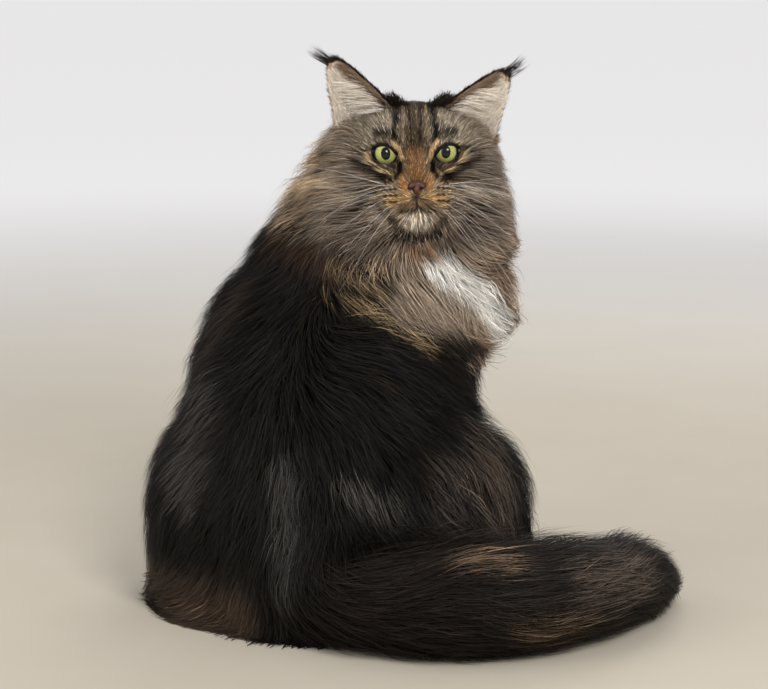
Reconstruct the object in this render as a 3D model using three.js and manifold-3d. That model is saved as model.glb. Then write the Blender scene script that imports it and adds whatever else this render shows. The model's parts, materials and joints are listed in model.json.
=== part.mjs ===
// A life-size maine coon cat that sits with its back to the viewer and looks back over its right shoulder.
// Sizes are millimetres and angles degrees. +X is the cat's right, +Y the way its hips face and +Z up.
// The origin is on the floor, under the middle of the hips.

import * as THREE from "three";
import { mergeVertices } from "three/addons/utils/BufferGeometryUtils.js";
import Module from "manifold-3d";

const wasm = await Module();
wasm.setup();

// Clearances, and how much of the coat a piece's core fills
const GAP = 0.3; // between pieces that meet
const GROW = GAP + 0.1; // swells a piece that cuts its neighbour: a facet's middle swells the least
const WELD = 0.005; // corners closer than this are one
const THIN = 0.001; // facets thinner than this are taken up by a neighbour
const CORE = 0.45; // share of the coat's depth under the locks
const SHORT = 10; // a coat of less depth than this is short fur, which the core fills
const FLOOR = 0;
const HEM = 70; // below this height the long coat hangs to the floor instead of curving in
const HANG = 0.4; // how much of the curve is left there

// Driving dimensions
const HIP_X = 88; // middle plane to the middle of a thigh
const CHEST_TURN = -30; // the chest is turned to the cat's right
const HEAD_TURN = 200; // the head looks back, past the right shoulder
const HEAD_AT = [46.6, 64.9, 372];
const EYE_RADIUS = 11.5;
const EYE_APART = 24.4; // middle plane of the head to the middle of an eye
const EYE_FORE = 31; // middle of the head to the middle of an eye, forward
const EYE_UP = 8;
const EYE_WIDE = 19; // the gap between the lids
const EYE_HIGH = 16.5;
const EYE_OUT = -8; // each eye looks a little outward
const EYE_SLANT = 12; // the outer corner stands higher
const LID_THICK = 1.6;

const RIGHT = 1;
const LEFT = -1;
const SIDES = [
  ["right", RIGHT],
  ["left", LEFT],
];

const at = (x, y, z) => new THREE.Vector3(x, y, z);
const radians = THREE.MathUtils.degToRad;

// A seeded draw from -1 to 1.
let seed = 19;
function draw() {
  seed = (seed * 1664525 + 1013904223) % 4294967296;
  return (seed / 4294967296) * 2 - 1;
}

// A turn about the upright axis, then a nod about the sideways one and a lean about the forward one.
function turned({ yaw = 0, nod = 0, lean = 0 } = {}) {
  return new THREE.Matrix4().makeRotationFromEuler(
    new THREE.Euler(radians(nod), radians(lean), radians(yaw), "ZXY"),
  );
}

// How much of a coat is on: short fur is always on.
const worn = (depth, share) => (depth < SHORT ? depth : depth * share);

// One rounded mass of flesh: an ellipsoid, with the depth of the coat that grows on it.
class Mass {
  constructor(centre, radii, { coat = 0, turn = {}, frame = null } = {}) {
    this.centre = at(...centre);
    this.radii = at(...radii);
    this.coat = coat;
    this.turn = turned(turn);
    if (frame) {
      this.centre.applyMatrix4(frame);
      this.turn.premultiply(new THREE.Matrix4().extractRotation(frame));
    }
    this.back = this.turn.clone().invert();
  }

  // About how far p is outside the mass, with a share of its coat on.
  distance(p, share) {
    const q = p.clone().sub(this.centre).applyMatrix4(this.back);
    const fat = this.radii.clone().addScalar(worn(this.coat, share));
    const near = q.clone().divide(fat).length();
    const slope = q.divide(fat).divide(fat).length();
    return slope < 1e-9 ? -Math.min(fat.x, fat.y, fat.z) : (near * (near - 1)) / slope;
  }
}

// A leg, neck or tail: round stations joined in a chain, each [x, y, z, radius, coat].
class Limb {
  constructor(stations) {
    this.stations = stations.map(([x, y, z, radius, coat]) => ({ point: at(x, y, z), radius, coat }));
    this.curve = new THREE.CatmullRomCurve3(this.stations.map((s) => s.point));
  }

  distance(p, share) {
    let least = Infinity;
    for (let i = 1; i < this.stations.length; i++) {
      const a = this.stations[i - 1];
      const b = this.stations[i];
      const along = b.point.clone().sub(a.point);
      const t = THREE.MathUtils.clamp(p.clone().sub(a.point).dot(along) / along.lengthSq(), 0, 1);
      const thick = THREE.MathUtils.lerp(a.radius + worn(a.coat, share), b.radius + worn(b.coat, share), t);
      least = Math.min(least, a.point.clone().addScaledVector(along, t).distanceTo(p) - thick);
    }
    return least;
  }

  // Radius of the core at u from 0 to 1 along the curve.
  thickness(u) {
    const place = u * (this.stations.length - 1);
    const i = Math.min(Math.floor(place), this.stations.length - 2);
    const a = this.stations[i];
    const b = this.stations[i + 1];
    return THREE.MathUtils.lerp(a.radius + worn(a.coat, CORE), b.radius + worn(b.coat, CORE), place - i);
  }
}

// Several masses and limbs run together into one smooth form, which may hang straight down under a hem.
class Form {
  constructor(pieces, softness, hem = -Infinity) {
    this.pieces = pieces;
    this.softness = softness;
    this.hem = hem;
  }

  distance(point, share) {
    const p = point.z < this.hem ? at(point.x, point.y, this.hem - (this.hem - point.z) * HANG) : point;
    let sum = 0;
    for (const piece of this.pieces) sum += Math.exp(-piece.distance(p, share) / this.softness);
    return -this.softness * Math.log(sum);
  }

  normal(p, share) {
    const step = 0.5;
    const slope = (axis) => {
      const a = p.clone().setComponent(axis, p.getComponent(axis) + step);
      const b = p.clone().setComponent(axis, p.getComponent(axis) - step);
      return this.distance(a, share) - this.distance(b, share);
    };
    return at(slope(0), slope(1), slope(2)).normalize();
  }

  // The point of the surface that a ray from inside meets last.
  reach(from, direction, share, grow = 0) {
    let far = 330;
    const p = at(0, 0, 0);
    for (let i = 0; i < 60; i++) {
      p.copy(from).addScaledVector(direction, far);
      const gap = this.distance(p, share) - grow;
      if (gap < 0.02) break;
      far = Math.max(far - gap * 0.85, 0.5);
    }
    return p;
  }

  // The point straight over or under p that is a given height above the surface with a share of the coat on.
  settle(p, share, height) {
    for (let i = 0; i < 3; i++) {
      p = p.clone().addScaledVector(this.normal(p, share), height - this.distance(p, share));
    }
    return p;
  }
}

// Geometry to a solid that can be joined and cut, and back.
function solid(geometry) {
  for (const name of ["normal", "uv"]) geometry.deleteAttribute(name);
  const merged = mergeVertices(geometry, 1e-4);
  return new wasm.Manifold(
    new wasm.Mesh({
      numProp: 3,
      vertProperties: new Float32Array(merged.attributes.position.array),
      triVerts: new Uint32Array(merged.index.array),
    }),
  );
}

const join = (solids) => (solids.length ? wasm.Manifold.union(solids) : null);
const cut = (body, tools) => tools.filter(Boolean).reduce((left, tool) => left.subtract(tool), body);

function largest(body) {
  return body.decompose().reduce((a, b) => (b.volume() > a.volume() ? b : a));
}

// Joins corners that a cut has left closer together than WELD, and drops the facets that this closes up.
function welded(points, facets) {
  const same = points.map((_, i) => i);
  const first = (i) => (same[i] === i ? i : first(same[i]));
  for (const facet of facets) {
    facet.forEach((a, k) => {
      const b = facet[(k + 1) % 3];
      if (points[a].distanceTo(points[b]) < WELD) same[first(a)] = first(b);
    });
  }
  const open = facets.map((facet) => facet.map(first)).filter(([a, b, c]) => a !== b && b !== c && c !== a);
  const key = (facet) => [...facet].sort((a, b) => a - b).join();
  const uses = new Map();
  for (const facet of open) uses.set(key(facet), (uses.get(key(facet)) ?? 0) + 1);
  return open.filter((facet) => uses.get(key(facet)) === 1);
}

// Turns the long edge of each facet that is thinner than THIN, so that its neighbour takes its corner in.
function unsplit(points, facets) {
  const owner = new Map();
  const edge = (a, b) => a * points.length + b;
  facets.forEach((facet, f) => facet.forEach((a, k) => owner.set(edge(a, facet[(k + 1) % 3]), f)));
  const turned = new Set();
  facets.forEach((facet, f) => {
    const lengths = facet.map((a, k) => points[a].distanceTo(points[facet[(k + 1) % 3]]));
    const k = lengths.indexOf(Math.max(...lengths));
    const [a, b, c] = [facet[k], facet[(k + 1) % 3], facet[(k + 2) % 3]];
    const area = new THREE.Triangle(points[a], points[b], points[c]).getArea();
    const g = owner.get(edge(b, a));
    if ((2 * area) / lengths[k] > THIN || turned.has(f) || turned.has(g)) return;
    const d = facets[g].find((corner) => corner !== a && corner !== b);
    if (c === d || owner.has(edge(c, d)) || owner.has(edge(d, c))) return;
    facets[f] = [a, d, c];
    facets[g] = [d, b, c];
    turned.add(f).add(g);
  });
  return turned.size > 0;
}

function meshOf(name, body, material) {
  const { vertProperties, triVerts, numProp } = body.getMesh();
  const points = [];
  for (let i = 0; i < vertProperties.length; i += numProp) points.push(at(...vertProperties.subarray(i, i + 3)));
  const raw = [];
  for (let i = 0; i < triVerts.length; i += 3) raw.push([...triVerts.subarray(i, i + 3)]);
  const facets = welded(points, raw);
  for (let pass = 0; pass < 4 && unsplit(points, facets); pass++);
  const geometry = new THREE.BufferGeometry().setFromPoints(points);
  geometry.setIndex(facets.flat());
  geometry.computeVertexNormals();
  const mesh = new THREE.Mesh(geometry, material);
  mesh.name = name;
  return mesh;
}

// A ball whose every point is pushed out to a form's core, with the part under the floor pressed flat.
// Its rows crowd towards the pole where focus is over 1.
function wrap(form, centre, { columns, rows, grow = 0, pole = at(0, 0, 1), focus = 1 }) {
  const geometry = new THREE.SphereGeometry(1, columns, rows);
  const lean = new THREE.Quaternion().setFromUnitVectors(at(0, 1, 0), pole);
  const places = geometry.attributes.position;
  const ball = new THREE.Spherical();
  const directions = [];
  for (let i = 0; i < places.count; i++) {
    ball.setFromVector3(at(0, 0, 0).fromBufferAttribute(places, i));
    ball.phi = Math.PI * Math.pow(ball.phi / Math.PI, focus);
    directions.push(at(0, 0, 0).setFromSpherical(ball).applyQuaternion(lean));
  }
  const inflate = (more) => directions.forEach((direction, i) => {
    const p = form.reach(centre, direction, CORE, more);
    places.setXYZ(i, p.x, p.y, Math.max(p.z, FLOOR - more * 3));
  });
  inflate(0);
  foldAlong(form, geometry, columns);
  if (grow) inflate(grow);
  return solid(geometry);
}

// Turns the diagonal of each four-sided facet of a wrapped ball to whichever lies nearer the form.
function foldAlong(form, geometry, columns) {
  const places = geometry.attributes.position;
  const index = geometry.index;
  const corner = (i) => at(0, 0, 0).fromBufferAttribute(places, index.getX(i));
  const off = (i, j) => Math.abs(form.distance(corner(i).add(corner(j)).multiplyScalar(0.5), CORE));
  const capped = 3 * columns; // the triangles round each pole have no diagonal
  for (let i = capped; i < index.count - capped; i += 6) {
    const [a, b, d, c] = [i, i + 1, i + 2, i + 4];
    if (off(a, c) >= off(b, d)) continue;
    const turned = [a, b, c, a, c, d].map((k) => index.getX(k));
    turned.forEach((vertex, k) => index.setX(i + k, vertex));
  }
}

// A closed tube from rings of points, with a fan over each end.
function loft(rings) {
  const sides = rings[0].length;
  const places = rings.flat().flatMap((p) => [p.x, p.y, p.z]);
  const faces = [];
  for (let r = 0; r + 1 < rings.length; r++) {
    for (let s = 0; s < sides; s++) {
      const a = r * sides + s;
      const b = r * sides + ((s + 1) % sides);
      faces.push(a, b, b + sides, a, b + sides, a + sides);
    }
  }
  const ends = [rings[0], rings[rings.length - 1]];
  ends.forEach((ring, last) => {
    const middle = ring.reduce((sum, p) => sum.add(p), at(0, 0, 0)).divideScalar(sides);
    const hub = places.length / 3;
    places.push(middle.x, middle.y, middle.z);
    const start = last ? (rings.length - 1) * sides : 0;
    for (let s = 0; s < sides; s++) {
      const a = start + s;
      const b = start + ((s + 1) % sides);
      faces.push(...(last ? [a, b, hub] : [b, a, hub]));
    }
  });
  const geometry = new THREE.BufferGeometry();
  geometry.setAttribute("position", new THREE.Float32BufferAttribute(places, 3));
  geometry.setIndex(faces);
  return solid(geometry);
}

// A round-ended tube along a limb, from u0 to u1 of its curve, flattened where it lies on the floor.
function tube(limb, { grow = 0, sides, steps, from = 0, to = 1, round = [true, true] }) {
  const rings = [];
  const section = (u, inset, push) => {
    const middle = limb.curve.getPoint(u);
    const ahead = limb.curve.getTangent(u);
    const across = at(0, 0, 1).cross(ahead);
    if (across.lengthSq() < 0.05) across.copy(at(1, 0, 0));
    across.normalize();
    const up = ahead.clone().cross(across).normalize();
    const radius = limb.thickness(u) + grow;
    middle.addScaledVector(ahead, push * radius);
    const ring = [];
    for (let s = 0; s < sides; s++) {
      const turn = (s / sides) * Math.PI * 2;
      const p = middle.clone();
      p.addScaledVector(across, inset * radius * Math.cos(turn));
      p.addScaledVector(up, inset * radius * Math.sin(turn));
      p.z = Math.max(p.z, FLOOR - grow * 3);
      ring.push(p);
    }
    rings.push(ring);
  };
  const caps = [
    [0.38, 0.92],
    [0.72, 0.68],
    [0.92, 0.36],
  ];
  if (round[0]) for (const [inset, push] of caps) section(from, inset, -push);
  for (let i = 0; i <= steps; i++) section(from + ((to - from) * i) / steps, 1, 0);
  if (round[1]) for (const [inset, push] of [...caps].reverse()) section(to, inset, push);
  return loft(rings);
}

// A lock of long hair: flat below, ridged above, widest a third of the way along and pointed at its tip.
// Each row gives how far along a section stands, and its shares of the full width and thickness.
const LOCK_SECTIONS = [
  [0, 0.66, 0.9],
  [0.36, 1, 1],
  [0.74, 0.66, 0.66],
];
const LOCK_SINK = 6; // depth of its root under the core
const LOCK_STEP = 1 / 12;

// It grows from a root on a form's core, runs along the lie of the coat and ends at the coat's outline.
class Lock {
  constructor(form, root, lie, { length, width, thick }) {
    this.form = form;
    this.lie = lie;
    this.long = length * (1 + 0.16 * draw());
    this.wide = width * (1 + 0.18 * draw());
    this.thick = thick;
    this.curl = 0.35 * draw();
    this.along = 0;
    this.p = form.settle(root, CORE, -LOCK_SINK);
    this.sections = LOCK_SECTIONS.map(([place, widthShare, thickShare]) => {
      this.march(place);
      const out = form.normal(this.p, CORE);
      const side = this.ahead(out).cross(out).normalize();
      const half = (this.wide / 2) * widthShare;
      return { middle: this.p.clone(), side, out, half, high: thick * thickShare };
    });
    this.march(1);
    const out = form.normal(this.p, CORE);
    this.way = this.ahead(out);
    this.end = { middle: this.p, side: this.way.clone().cross(out).normalize(), out, half: 0, high: 0 };
  }

  // The way it runs at the place it has reached, curling a little to one side.
  ahead(out) {
    const way = this.lie(this.p).projectOnPlane(out).normalize();
    return way.applyAxisAngle(out, this.curl * (0.4 - this.along) * 2);
  }

  march(to) {
    while (this.along < to - 1e-6) {
      const part = Math.min(LOCK_STEP, to - this.along);
      this.along += part;
      const share = THREE.MathUtils.lerp(CORE, 1, this.along);
      const way = this.ahead(this.form.normal(this.p, share));
      const sunk = LOCK_SINK * Math.max(1 - this.along / 0.3, 0) + this.thick * 0.6 * (1 - this.along);
      this.p = this.form.settle(this.p.clone().addScaledVector(way, this.long * part), share, -sunk);
      this.p.z = Math.max(this.p.z, FLOOR + this.thick / 2);
    }
  }

  // The closed solid, or with grow a fatter one of blunt edges that clears it on every side.
  solid(grow) {
    const rings = (grow ? [...this.sections, this.end] : this.sections).map(({ middle, side, out, half, high }) => {
      const outline = grow ? bluntOutline(half, high, grow) : [[half, 0], [0, high], [-half, 0]];
      return outline.map(([x, y]) => middle.clone().addScaledVector(side, x).addScaledVector(out, y));
    });
    const tip = this.p.clone().addScaledVector(this.way, 2 * grow);
    for (const p of [...rings.flat(), tip]) p.z = Math.max(p.z, FLOOR + GAP - grow);
    return spike(rings, tip);
  }
}

// A lock's section moved out by grow, with its two sharp edges cut off square
function bluntOutline(half, high, grow) {
  const far = half + grow;
  return [[far, -grow], [far, grow], [0, high + 1.5 * grow], [-far, grow], [-far, -grow]];
}

// A closed solid from rings of points and a tip.
function spike(rings, tip) {
  const sides = rings[0].length;
  const places = [...rings.flat(), tip].flatMap((p) => [p.x, p.y, p.z]);
  const faces = [];
  const last = (rings.length - 1) * sides;
  for (let s = 2; s < sides; s++) faces.push(0, s - 1, s);
  for (let s = 0; s < sides; s++) {
    const next = (s + 1) % sides;
    for (let a = 0; a < last; a += sides) {
      faces.push(a + s, a + sides + s, a + sides + next, a + s, a + sides + next, a + next);
    }
    faces.push(last + s, rings.length * sides, last + next);
  }
  const geometry = new THREE.BufferGeometry();
  geometry.setAttribute("position", new THREE.Float32BufferAttribute(places, 3));
  geometry.setIndex(faces);
  return solid(geometry);
}

// Roots spread evenly over a form's core, as seen from its middle, where nothing else covers it.
function roots(form, middle, count) {
  const found = [];
  const golden = Math.PI * (3 - Math.sqrt(5));
  for (let i = 0; i < count; i++) {
    const z = 1 - (2 * (i + 0.5 + 0.3 * draw())) / count;
    const turn = golden * i + 0.15 * draw();
    const flat = Math.sqrt(Math.max(1 - z * z, 0));
    found.push(form.reach(middle, at(flat * Math.cos(turn), flat * Math.sin(turn), z), CORE));
  }
  return found.filter((p) => coat.distance(p, CORE) > -2 && p.z > 22 && coat.normal(p, CORE).z > -0.65);
}

// The trunk: hips on the floor, a broad rounded back and a chest that turns to the right
const rump = new Mass([-4, -30, 80], [76, 58, 76], { coat: 28 });
const seat = new Mass([-4, -14, 42], [72, 56, 44], { coat: 14 });
const belly = new Mass([-18, 12, 138], [90, 84, 84], { coat: 29 });
const ribs = new Mass([-24, 47, 206], [82, 86, 80], { coat: 27, turn: { yaw: CHEST_TURN / 2 } });
const withers = new Mass([-24, 42, 272], [48, 46, 38], { coat: 26, turn: { yaw: CHEST_TURN } });
const breast = new Mass([40, 94, 234], [46, 50, 50], { coat: 40, turn: { yaw: 1.5 * CHEST_TURN } });
const shoulders = SIDES.map(([, side]) => {
  const turn = turned({ yaw: CHEST_TURN });
  const place = at(side * 54, 0, 0).applyMatrix4(turn).add(at(-4, 66, 226));
  return new Mass(place.toArray(), [30, 48, 58], { coat: 26, turn: { yaw: CHEST_TURN } });
});
const TRUNK_MIDDLE = at(-6, 22, 140);
const trunkMasses = [rump, seat, belly, ribs, withers, breast, ...shoulders];
const trunk = new Form(trunkMasses, 7, HEM);

// The trunk is parted at the waist by a slanting plane: everything over it, as one big block
const WAIST = { height: 186, nod: -9 };
function overWaist(grow) {
  const block = new THREE.BoxGeometry(600, 600, 400);
  block.translate(0, 0, 200 - grow);
  block.applyMatrix4(turned({ nod: WAIST.nod }).setPosition(0, 0, WAIST.height));
  return solid(block);
}
const isOverWaist = (p) => p.z > WAIST.height + p.y * Math.tan(radians(WAIST.nod));

// The neck climbs from the trunk to the back of the skull, and carries the ruff
const neckLimb = new Limb([
  [0, 66, 262, 62, 32],
  [10, 82, 300, 54, 38],
  [24, 98, 328, 42, 32],
]);
const mane = new Mass([8, 106, 330], [52, 40, 42], { coat: 40 });
const neck = new Form([neckLimb, mane], 6);
const NECK_MIDDLE = at(8, 86, 305);

// The head, in its own frame: +x its right, +y the way it looks, +z up
const headFrame = turned({ yaw: HEAD_TURN, nod: 2, lean: 1.5 }).setPosition(...HEAD_AT);
const inHead = (x, y, z) => at(x, y, z).applyMatrix4(headFrame);
const headMass = (centre, radii, coat, turn) => new Mass(centre, radii, { coat, turn, frame: headFrame });
const skull = headMass([0, -14, 8], [42, 48, 36], 9);
const forehead = headMass([0, 12, 16], [30, 26, 22], 7);
const bridge = headMass([0, 34, 1], [10, 25, 10], 3, { nod: -26 });
const muzzle = headMass([0, 36, -20], [18, 20, 14], 3);
const chin = headMass([0, 41, -37], [11, 12, 9], 5);
const jaw = headMass([0, 12, -34], [26, 34, 18], 18);
const headPairs = SIDES.flatMap(([, side]) => [
  headMass([side * 26, -4, -14], [22, 30, 26], 24),
  headMass([side * 22, 18, 14], [15, 16, 12], 6),
  headMass([side * 10, 46, -22], [12, 12, 10], 3),
]);
const HEAD_MIDDLE = inHead(0, 8, -6);
const head = new Form([skull, forehead, bridge, muzzle, chin, jaw, ...headPairs], 3.2);

// Legs. Each foreleg hangs from its shoulder to a paw; each thigh is folded, with its foot flat on the floor
const forelegs = {
  right: [
    [42, 60, 215, 30, 20],
    [50, 84, 128, 24, 18],
    [52, 106, 46, 17, 14],
    [54, 118, 18, 20, 9],
    [57, 136, 15, 16, 7],
  ],
  left: [
    [-40, 90, 215, 30, 20],
    [-32, 108, 128, 24, 18],
    [-26, 130, 46, 17, 14],
    [-25, 142, 18, 20, 9],
    [-24, 160, 15, 16, 7],
  ],
};
const hindFeet = {
  right: [
    [56, -52, 22, 17, 14],
    [92, -6, 17, 15, 13],
    [116, 34, 16, 20, 11],
    [126, 56, 14, 16, 9],
  ],
  left: [
    [-82, -58, 23, 17, 16],
    [-114, -38, 18, 15, 15],
    [-142, -10, 16, 19, 12],
    [-153, 8, 14, 16, 10],
  ],
};

// A paw from its heel and its ball, each a station of the limb: a low pad with four toes in a bow before it
const TOES = [-1.5, -0.5, 0.5, 1.5];
function pawForm(heel, ball) {
  const from = at(...heel.slice(0, 3));
  const to = at(...ball.slice(0, 3));
  const yaw = THREE.MathUtils.radToDeg(Math.atan2(from.x - to.x, to.y - from.y));
  const aside = at(1, 0, 0).applyMatrix4(turned({ yaw }));
  const ahead = at(0, 1, 0).applyMatrix4(turned({ yaw }));
  const wide = ball[3];
  const pad = new Mass(from.clone().lerp(to, 0.35).setZ(0.9 * wide).toArray(), [wide, 1.2 * wide, wide], {
    coat: ball[4],
    turn: { yaw },
  });
  const toes = TOES.map((place) => {
    const middle = to.clone().addScaledVector(aside, place * 0.6 * wide);
    middle.addScaledVector(ahead, (0.62 - 0.12 * place * place) * wide).setZ(0.62 * wide);
    return new Mass(middle.toArray(), [0.32 * wide, 0.62 * wide, 0.5 * wide], { coat: 3, turn: { yaw } });
  });
  return { form: new Form([pad, ...toes], 1.6, 0), middle: from.lerp(to, 0.6) };
}

const thighAt = (side) => [side * HIP_X - 9, 20 - side * 2, 82];
const thighMass = (side) => new Mass(thighAt(side), [48, 80, 70], { coat: 30, turn: { yaw: side * -8 } });

const thighs = SIDES.map(([, side]) => thighMass(side));
const footLimbs = SIDES.map(([name]) => new Limb(hindFeet[name]));

// The whole coat from the neck down, which the long locks follow
const coat = new Form([...trunkMasses, neckLimb, mane, ...thighs, ...footLimbs, ...head.pieces], 6, HEM);

// The tail leaves the rump on the middle line, turns to the right along the floor and curls forward
const tailLimb = new Limb([
  [4, -66, 66, 18, 26],
  [30, -88, 50, 16, 30],
  [84, -96, 46, 14, 34],
  [148, -80, 45, 12, 38],
  [198, -36, 44, 10, 37],
  [226, 20, 40, 8, 34],
  [240, 74, 35, 6, 30],
  [248, 116, 27, 3, 20],
]);
const tail = new Form([tailLimb], 1);

// Eyes, ears and nose
const eyeAt = (side) => inHead(side * EYE_APART, EYE_FORE, EYE_UP);

function eyeball(side, grow) {
  const geometry = new THREE.SphereGeometry(EYE_RADIUS + grow, 16, 10);
  geometry.translate(...eyeAt(side).toArray());
  return solid(geometry);
}

// The two lids of an eye: a shell over the eyeball, later opened by an almond
function lidShell(side, grow) {
  const geometry = new THREE.SphereGeometry(EYE_RADIUS + LID_THICK + grow, 14, 10);
  geometry.translate(...eyeAt(side).toArray());
  return solid(geometry);
}

// The almond gap between the lids: its outline is drawn out into a flaring prism along the line of sight.
function eyeOpening(side) {
  const gaze = turned({ yaw: side * EYE_OUT, lean: -side * EYE_SLANT });
  const frame = headFrame.clone().multiply(gaze.setPosition(side * EYE_APART, EYE_FORE, EYE_UP));
  const ring = (depth, scale) => {
    const points = [];
    for (let i = 0; i < 16; i++) {
      const turn = (i / 16) * Math.PI * 2;
      const x = Math.cos(turn);
      const z = Math.sin(turn) * Math.pow(Math.abs(Math.sin(turn)), 0.15);
      points.push(at(x * (EYE_WIDE / 2) * scale, depth, z * (EYE_HIGH / 2) * scale).applyMatrix4(frame));
    }
    return points;
  };
  const front = EYE_RADIUS;
  return loft([ring(front + 22, 2.2), ring(front + 5, 1.3), ring(front, 1), ring(3, 0.86)]);
}

const EARS = {
  right: { base: [37, -8, 27], tip: [70, -4, 80], spread: [46, 0, -20], width: 54, droop: 2 },
  left: { base: [-41, -8, 24], tip: [-74, -4, 68], spread: [42, 0, 30], width: 52, droop: 24 },
};

const EAR_THICK = 2.2;
const EAR_TIP = 1.6; // half the width left at the tip
const EAR_SINK = 0.24; // how far the root runs into the head, as a share of the ear's height

// A pinna: a leaf of even thickness, bowed into a cup that opens forward.
function pinna({ base, tip, spread, width }, grow) {
  const thick = EAR_THICK + 2 * grow;
  const foot = at(...base);
  const rise = at(...tip).sub(foot);
  const side = at(...spread).normalize();
  const front = rise.clone().normalize().cross(side).normalize();
  if (front.y < 0) front.negate();
  const rows = 7;
  const columns = 8;
  const more = grow / rise.length();
  const leaf = (offset) => {
    const grid = [];
    for (let r = 0; r <= rows; r++) {
      const u = -EAR_SINK - more + ((1 + EAR_SINK + 2 * more) * r) / rows;
      const climb = Math.max(u, 0);
      const taper = Math.pow(Math.max(1 - climb, 0), 0.72) * (1 - 0.08 * Math.sin(climb * Math.PI));
      const half = (width / 2) * taper + EAR_TIP;
      const cup = half * 0.62 * (1 - 0.45 * climb);
      for (let c = 0; c <= columns; c++) {
        const v = ((2 * c) / columns - 1) * (1 + grow / half);
        const p = foot.clone().addScaledVector(rise, u);
        p.addScaledVector(side, half * v);
        p.addScaledVector(front, cup * v * v - cup + offset * (1 - 0.3 * v * v));
        grid.push(p.applyMatrix4(headFrame));
      }
    }
    return grid;
  };
  const inside = leaf(thick / 2);
  const outside = leaf(-thick / 2);
  const wide = columns + 1;
  const places = [...inside, ...outside].flatMap((p) => [p.x, p.y, p.z]);
  const far = inside.length;
  const faces = [];
  const quad = (a, b, c, d) => faces.push(a, b, c, a, c, d);
  for (let r = 0; r < rows; r++) {
    for (let c = 0; c < columns; c++) {
      const a = r * wide + c;
      quad(a, a + 1, a + 1 + wide, a + wide);
      quad(far + a, far + a + wide, far + a + 1 + wide, far + a + 1);
    }
    const left = r * wide;
    const right = left + columns;
    quad(left, left + wide, far + left + wide, far + left);
    quad(right, far + right, far + right + wide, right + wide);
  }
  for (let c = 0; c < columns; c++) {
    const top = rows * wide + c;
    quad(c, far + c, far + c + 1, c + 1);
    quad(top, top + 1, far + top + 1, far + top);
  }
  const geometry = new THREE.BufferGeometry();
  geometry.setAttribute("position", new THREE.Float32BufferAttribute(places, 3));
  geometry.setIndex(faces);
  const made = solid(geometry);
  if (made.volume() > 0) return made;
  geometry.setIndex(faces.reverse()); // the other ear is a mirror image, so its faces turn round
  return solid(geometry);
}

// The tuft at an ear's tip: flat pointed locks that fan out, each given by its length and its turn
const TUFT = { width: 5, thick: 2, sink: 5 };
const TUFT_LOCKS = [
  [19, 2],
  [15, 20],
  [13, -16],
];
function earTuft(side, { base, tip, droop }, grow) {
  const rise = at(...tip).sub(at(...base)).normalize();
  const fan = at(0, 1, 0);
  return TUFT_LOCKS.map(([length, turn]) => {
    const way = rise.clone().applyAxisAngle(fan, radians(side * (droop + turn)));
    const across = fan.clone().cross(way).normalize();
    const over = way.clone().cross(across);
    const root = at(...tip).addScaledVector(rise, -TUFT.sink);
    const rings = [0.8, 0.9].map((share, i) => {
      const middle = root.clone().addScaledVector(way, (i * (length + TUFT.sink)) / 2);
      const half = (TUFT.width / 2) * share + grow;
      const high = (TUFT.thick / 2) * share + grow;
      return [[-1, 0], [0, 1], [1, 0], [0, -1]].map(([x, y]) => {
        const p = middle.clone().addScaledVector(across, x * half).addScaledVector(over, y * high);
        return p.applyMatrix4(headFrame);
      });
    });
    return spike(rings, root.addScaledVector(way, length + TUFT.sink + grow * 4).applyMatrix4(headFrame));
  });
}

// A nostril: a slanting hollow in the side of the nose
function nostril(side) {
  const geometry = new THREE.SphereGeometry(1, 8, 6);
  geometry.scale(2.6, 3.4, 1.5);
  geometry.applyMatrix4(turned({ lean: side * 28 }).setPosition(side * 5.6, 63.5, -13));
  geometry.applyMatrix4(headFrame);
  return solid(geometry);
}

// The mouth: a line down from the nose that parts into two bows under the whisker pads
const MOUTH = [
  [0, -26],
  [6, -29.5],
  [13, -32.5],
  [21, -35],
];
const lipLine = [...MOUTH.slice(1).reverse().map(([x, z]) => [-x, z]), ...MOUTH];
const onFace = (x, z) => head.reach(inHead(x, 0, z), at(0, 1, 0).transformDirection(headFrame), CORE);

// A thin round bead that follows points of the face.
function bead(points, radius) {
  const up = at(0, 0, 1).transformDirection(headFrame);
  const rings = points.map(([x, z], i) => {
    const middle = onFace(x, z);
    const a = onFace(...points[Math.max(i - 1, 0)]);
    const b = onFace(...points[Math.min(i + 1, points.length - 1)]);
    const ahead = b.sub(a).normalize();
    const across = up.clone().cross(ahead).normalize();
    const over = ahead.clone().cross(across);
    const ring = [];
    for (let s = 0; s < 5; s++) {
      const turn = (s / 5) * Math.PI * 2;
      const out = across.clone().multiplyScalar(Math.cos(turn)).addScaledVector(over, Math.sin(turn));
      ring.push(middle.clone().addScaledVector(out, radius));
    }
    return ring;
  });
  return loft(rings);
}
const LIP = 2.2;
const lowerLip = (grow) => bead(lipLine.map(([x, z]) => [x * 0.8, z - 3]), LIP + grow);
const mouthLine = () => join([bead(lipLine, 1.3), bead([[0, -18], [0, -22], [0.01, -26.5]], 1.1)]);

const JOWL_FANS = [
  { back: 0.05, count: 6, fan: 74 },
  { back: -0.55, count: 7, fan: 112 },
];

const nosePad = new Form(
  [headMass([0, 58, -11], [9.5, 7, 6], 0, { nod: 24 }), headMass([0, 60, -17], [3.6, 4.5, 4.5], 0)],
  1.2,
);

// Materials
const finish = (colour, roughness) => new THREE.MeshStandardMaterial({ color: colour, roughness, metalness: 0 });
const fur = (colour) => finish(colour, 0.85);
const BLACK_BROWN = fur(0x1e1914);
const GREY_BROWN = fur(0x7a6c5e);
const DARK_TABBY = fur(0x4a3f35);
const FOOT_BROWN = fur(0x4a3d31);
const EAR_BUFF = fur(0xb09a82);
const NOSE_LEATHER = finish(0x5a3d3a, 0.5);
const EYE_GREEN = finish(0xa9b45a, 0.08);

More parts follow.
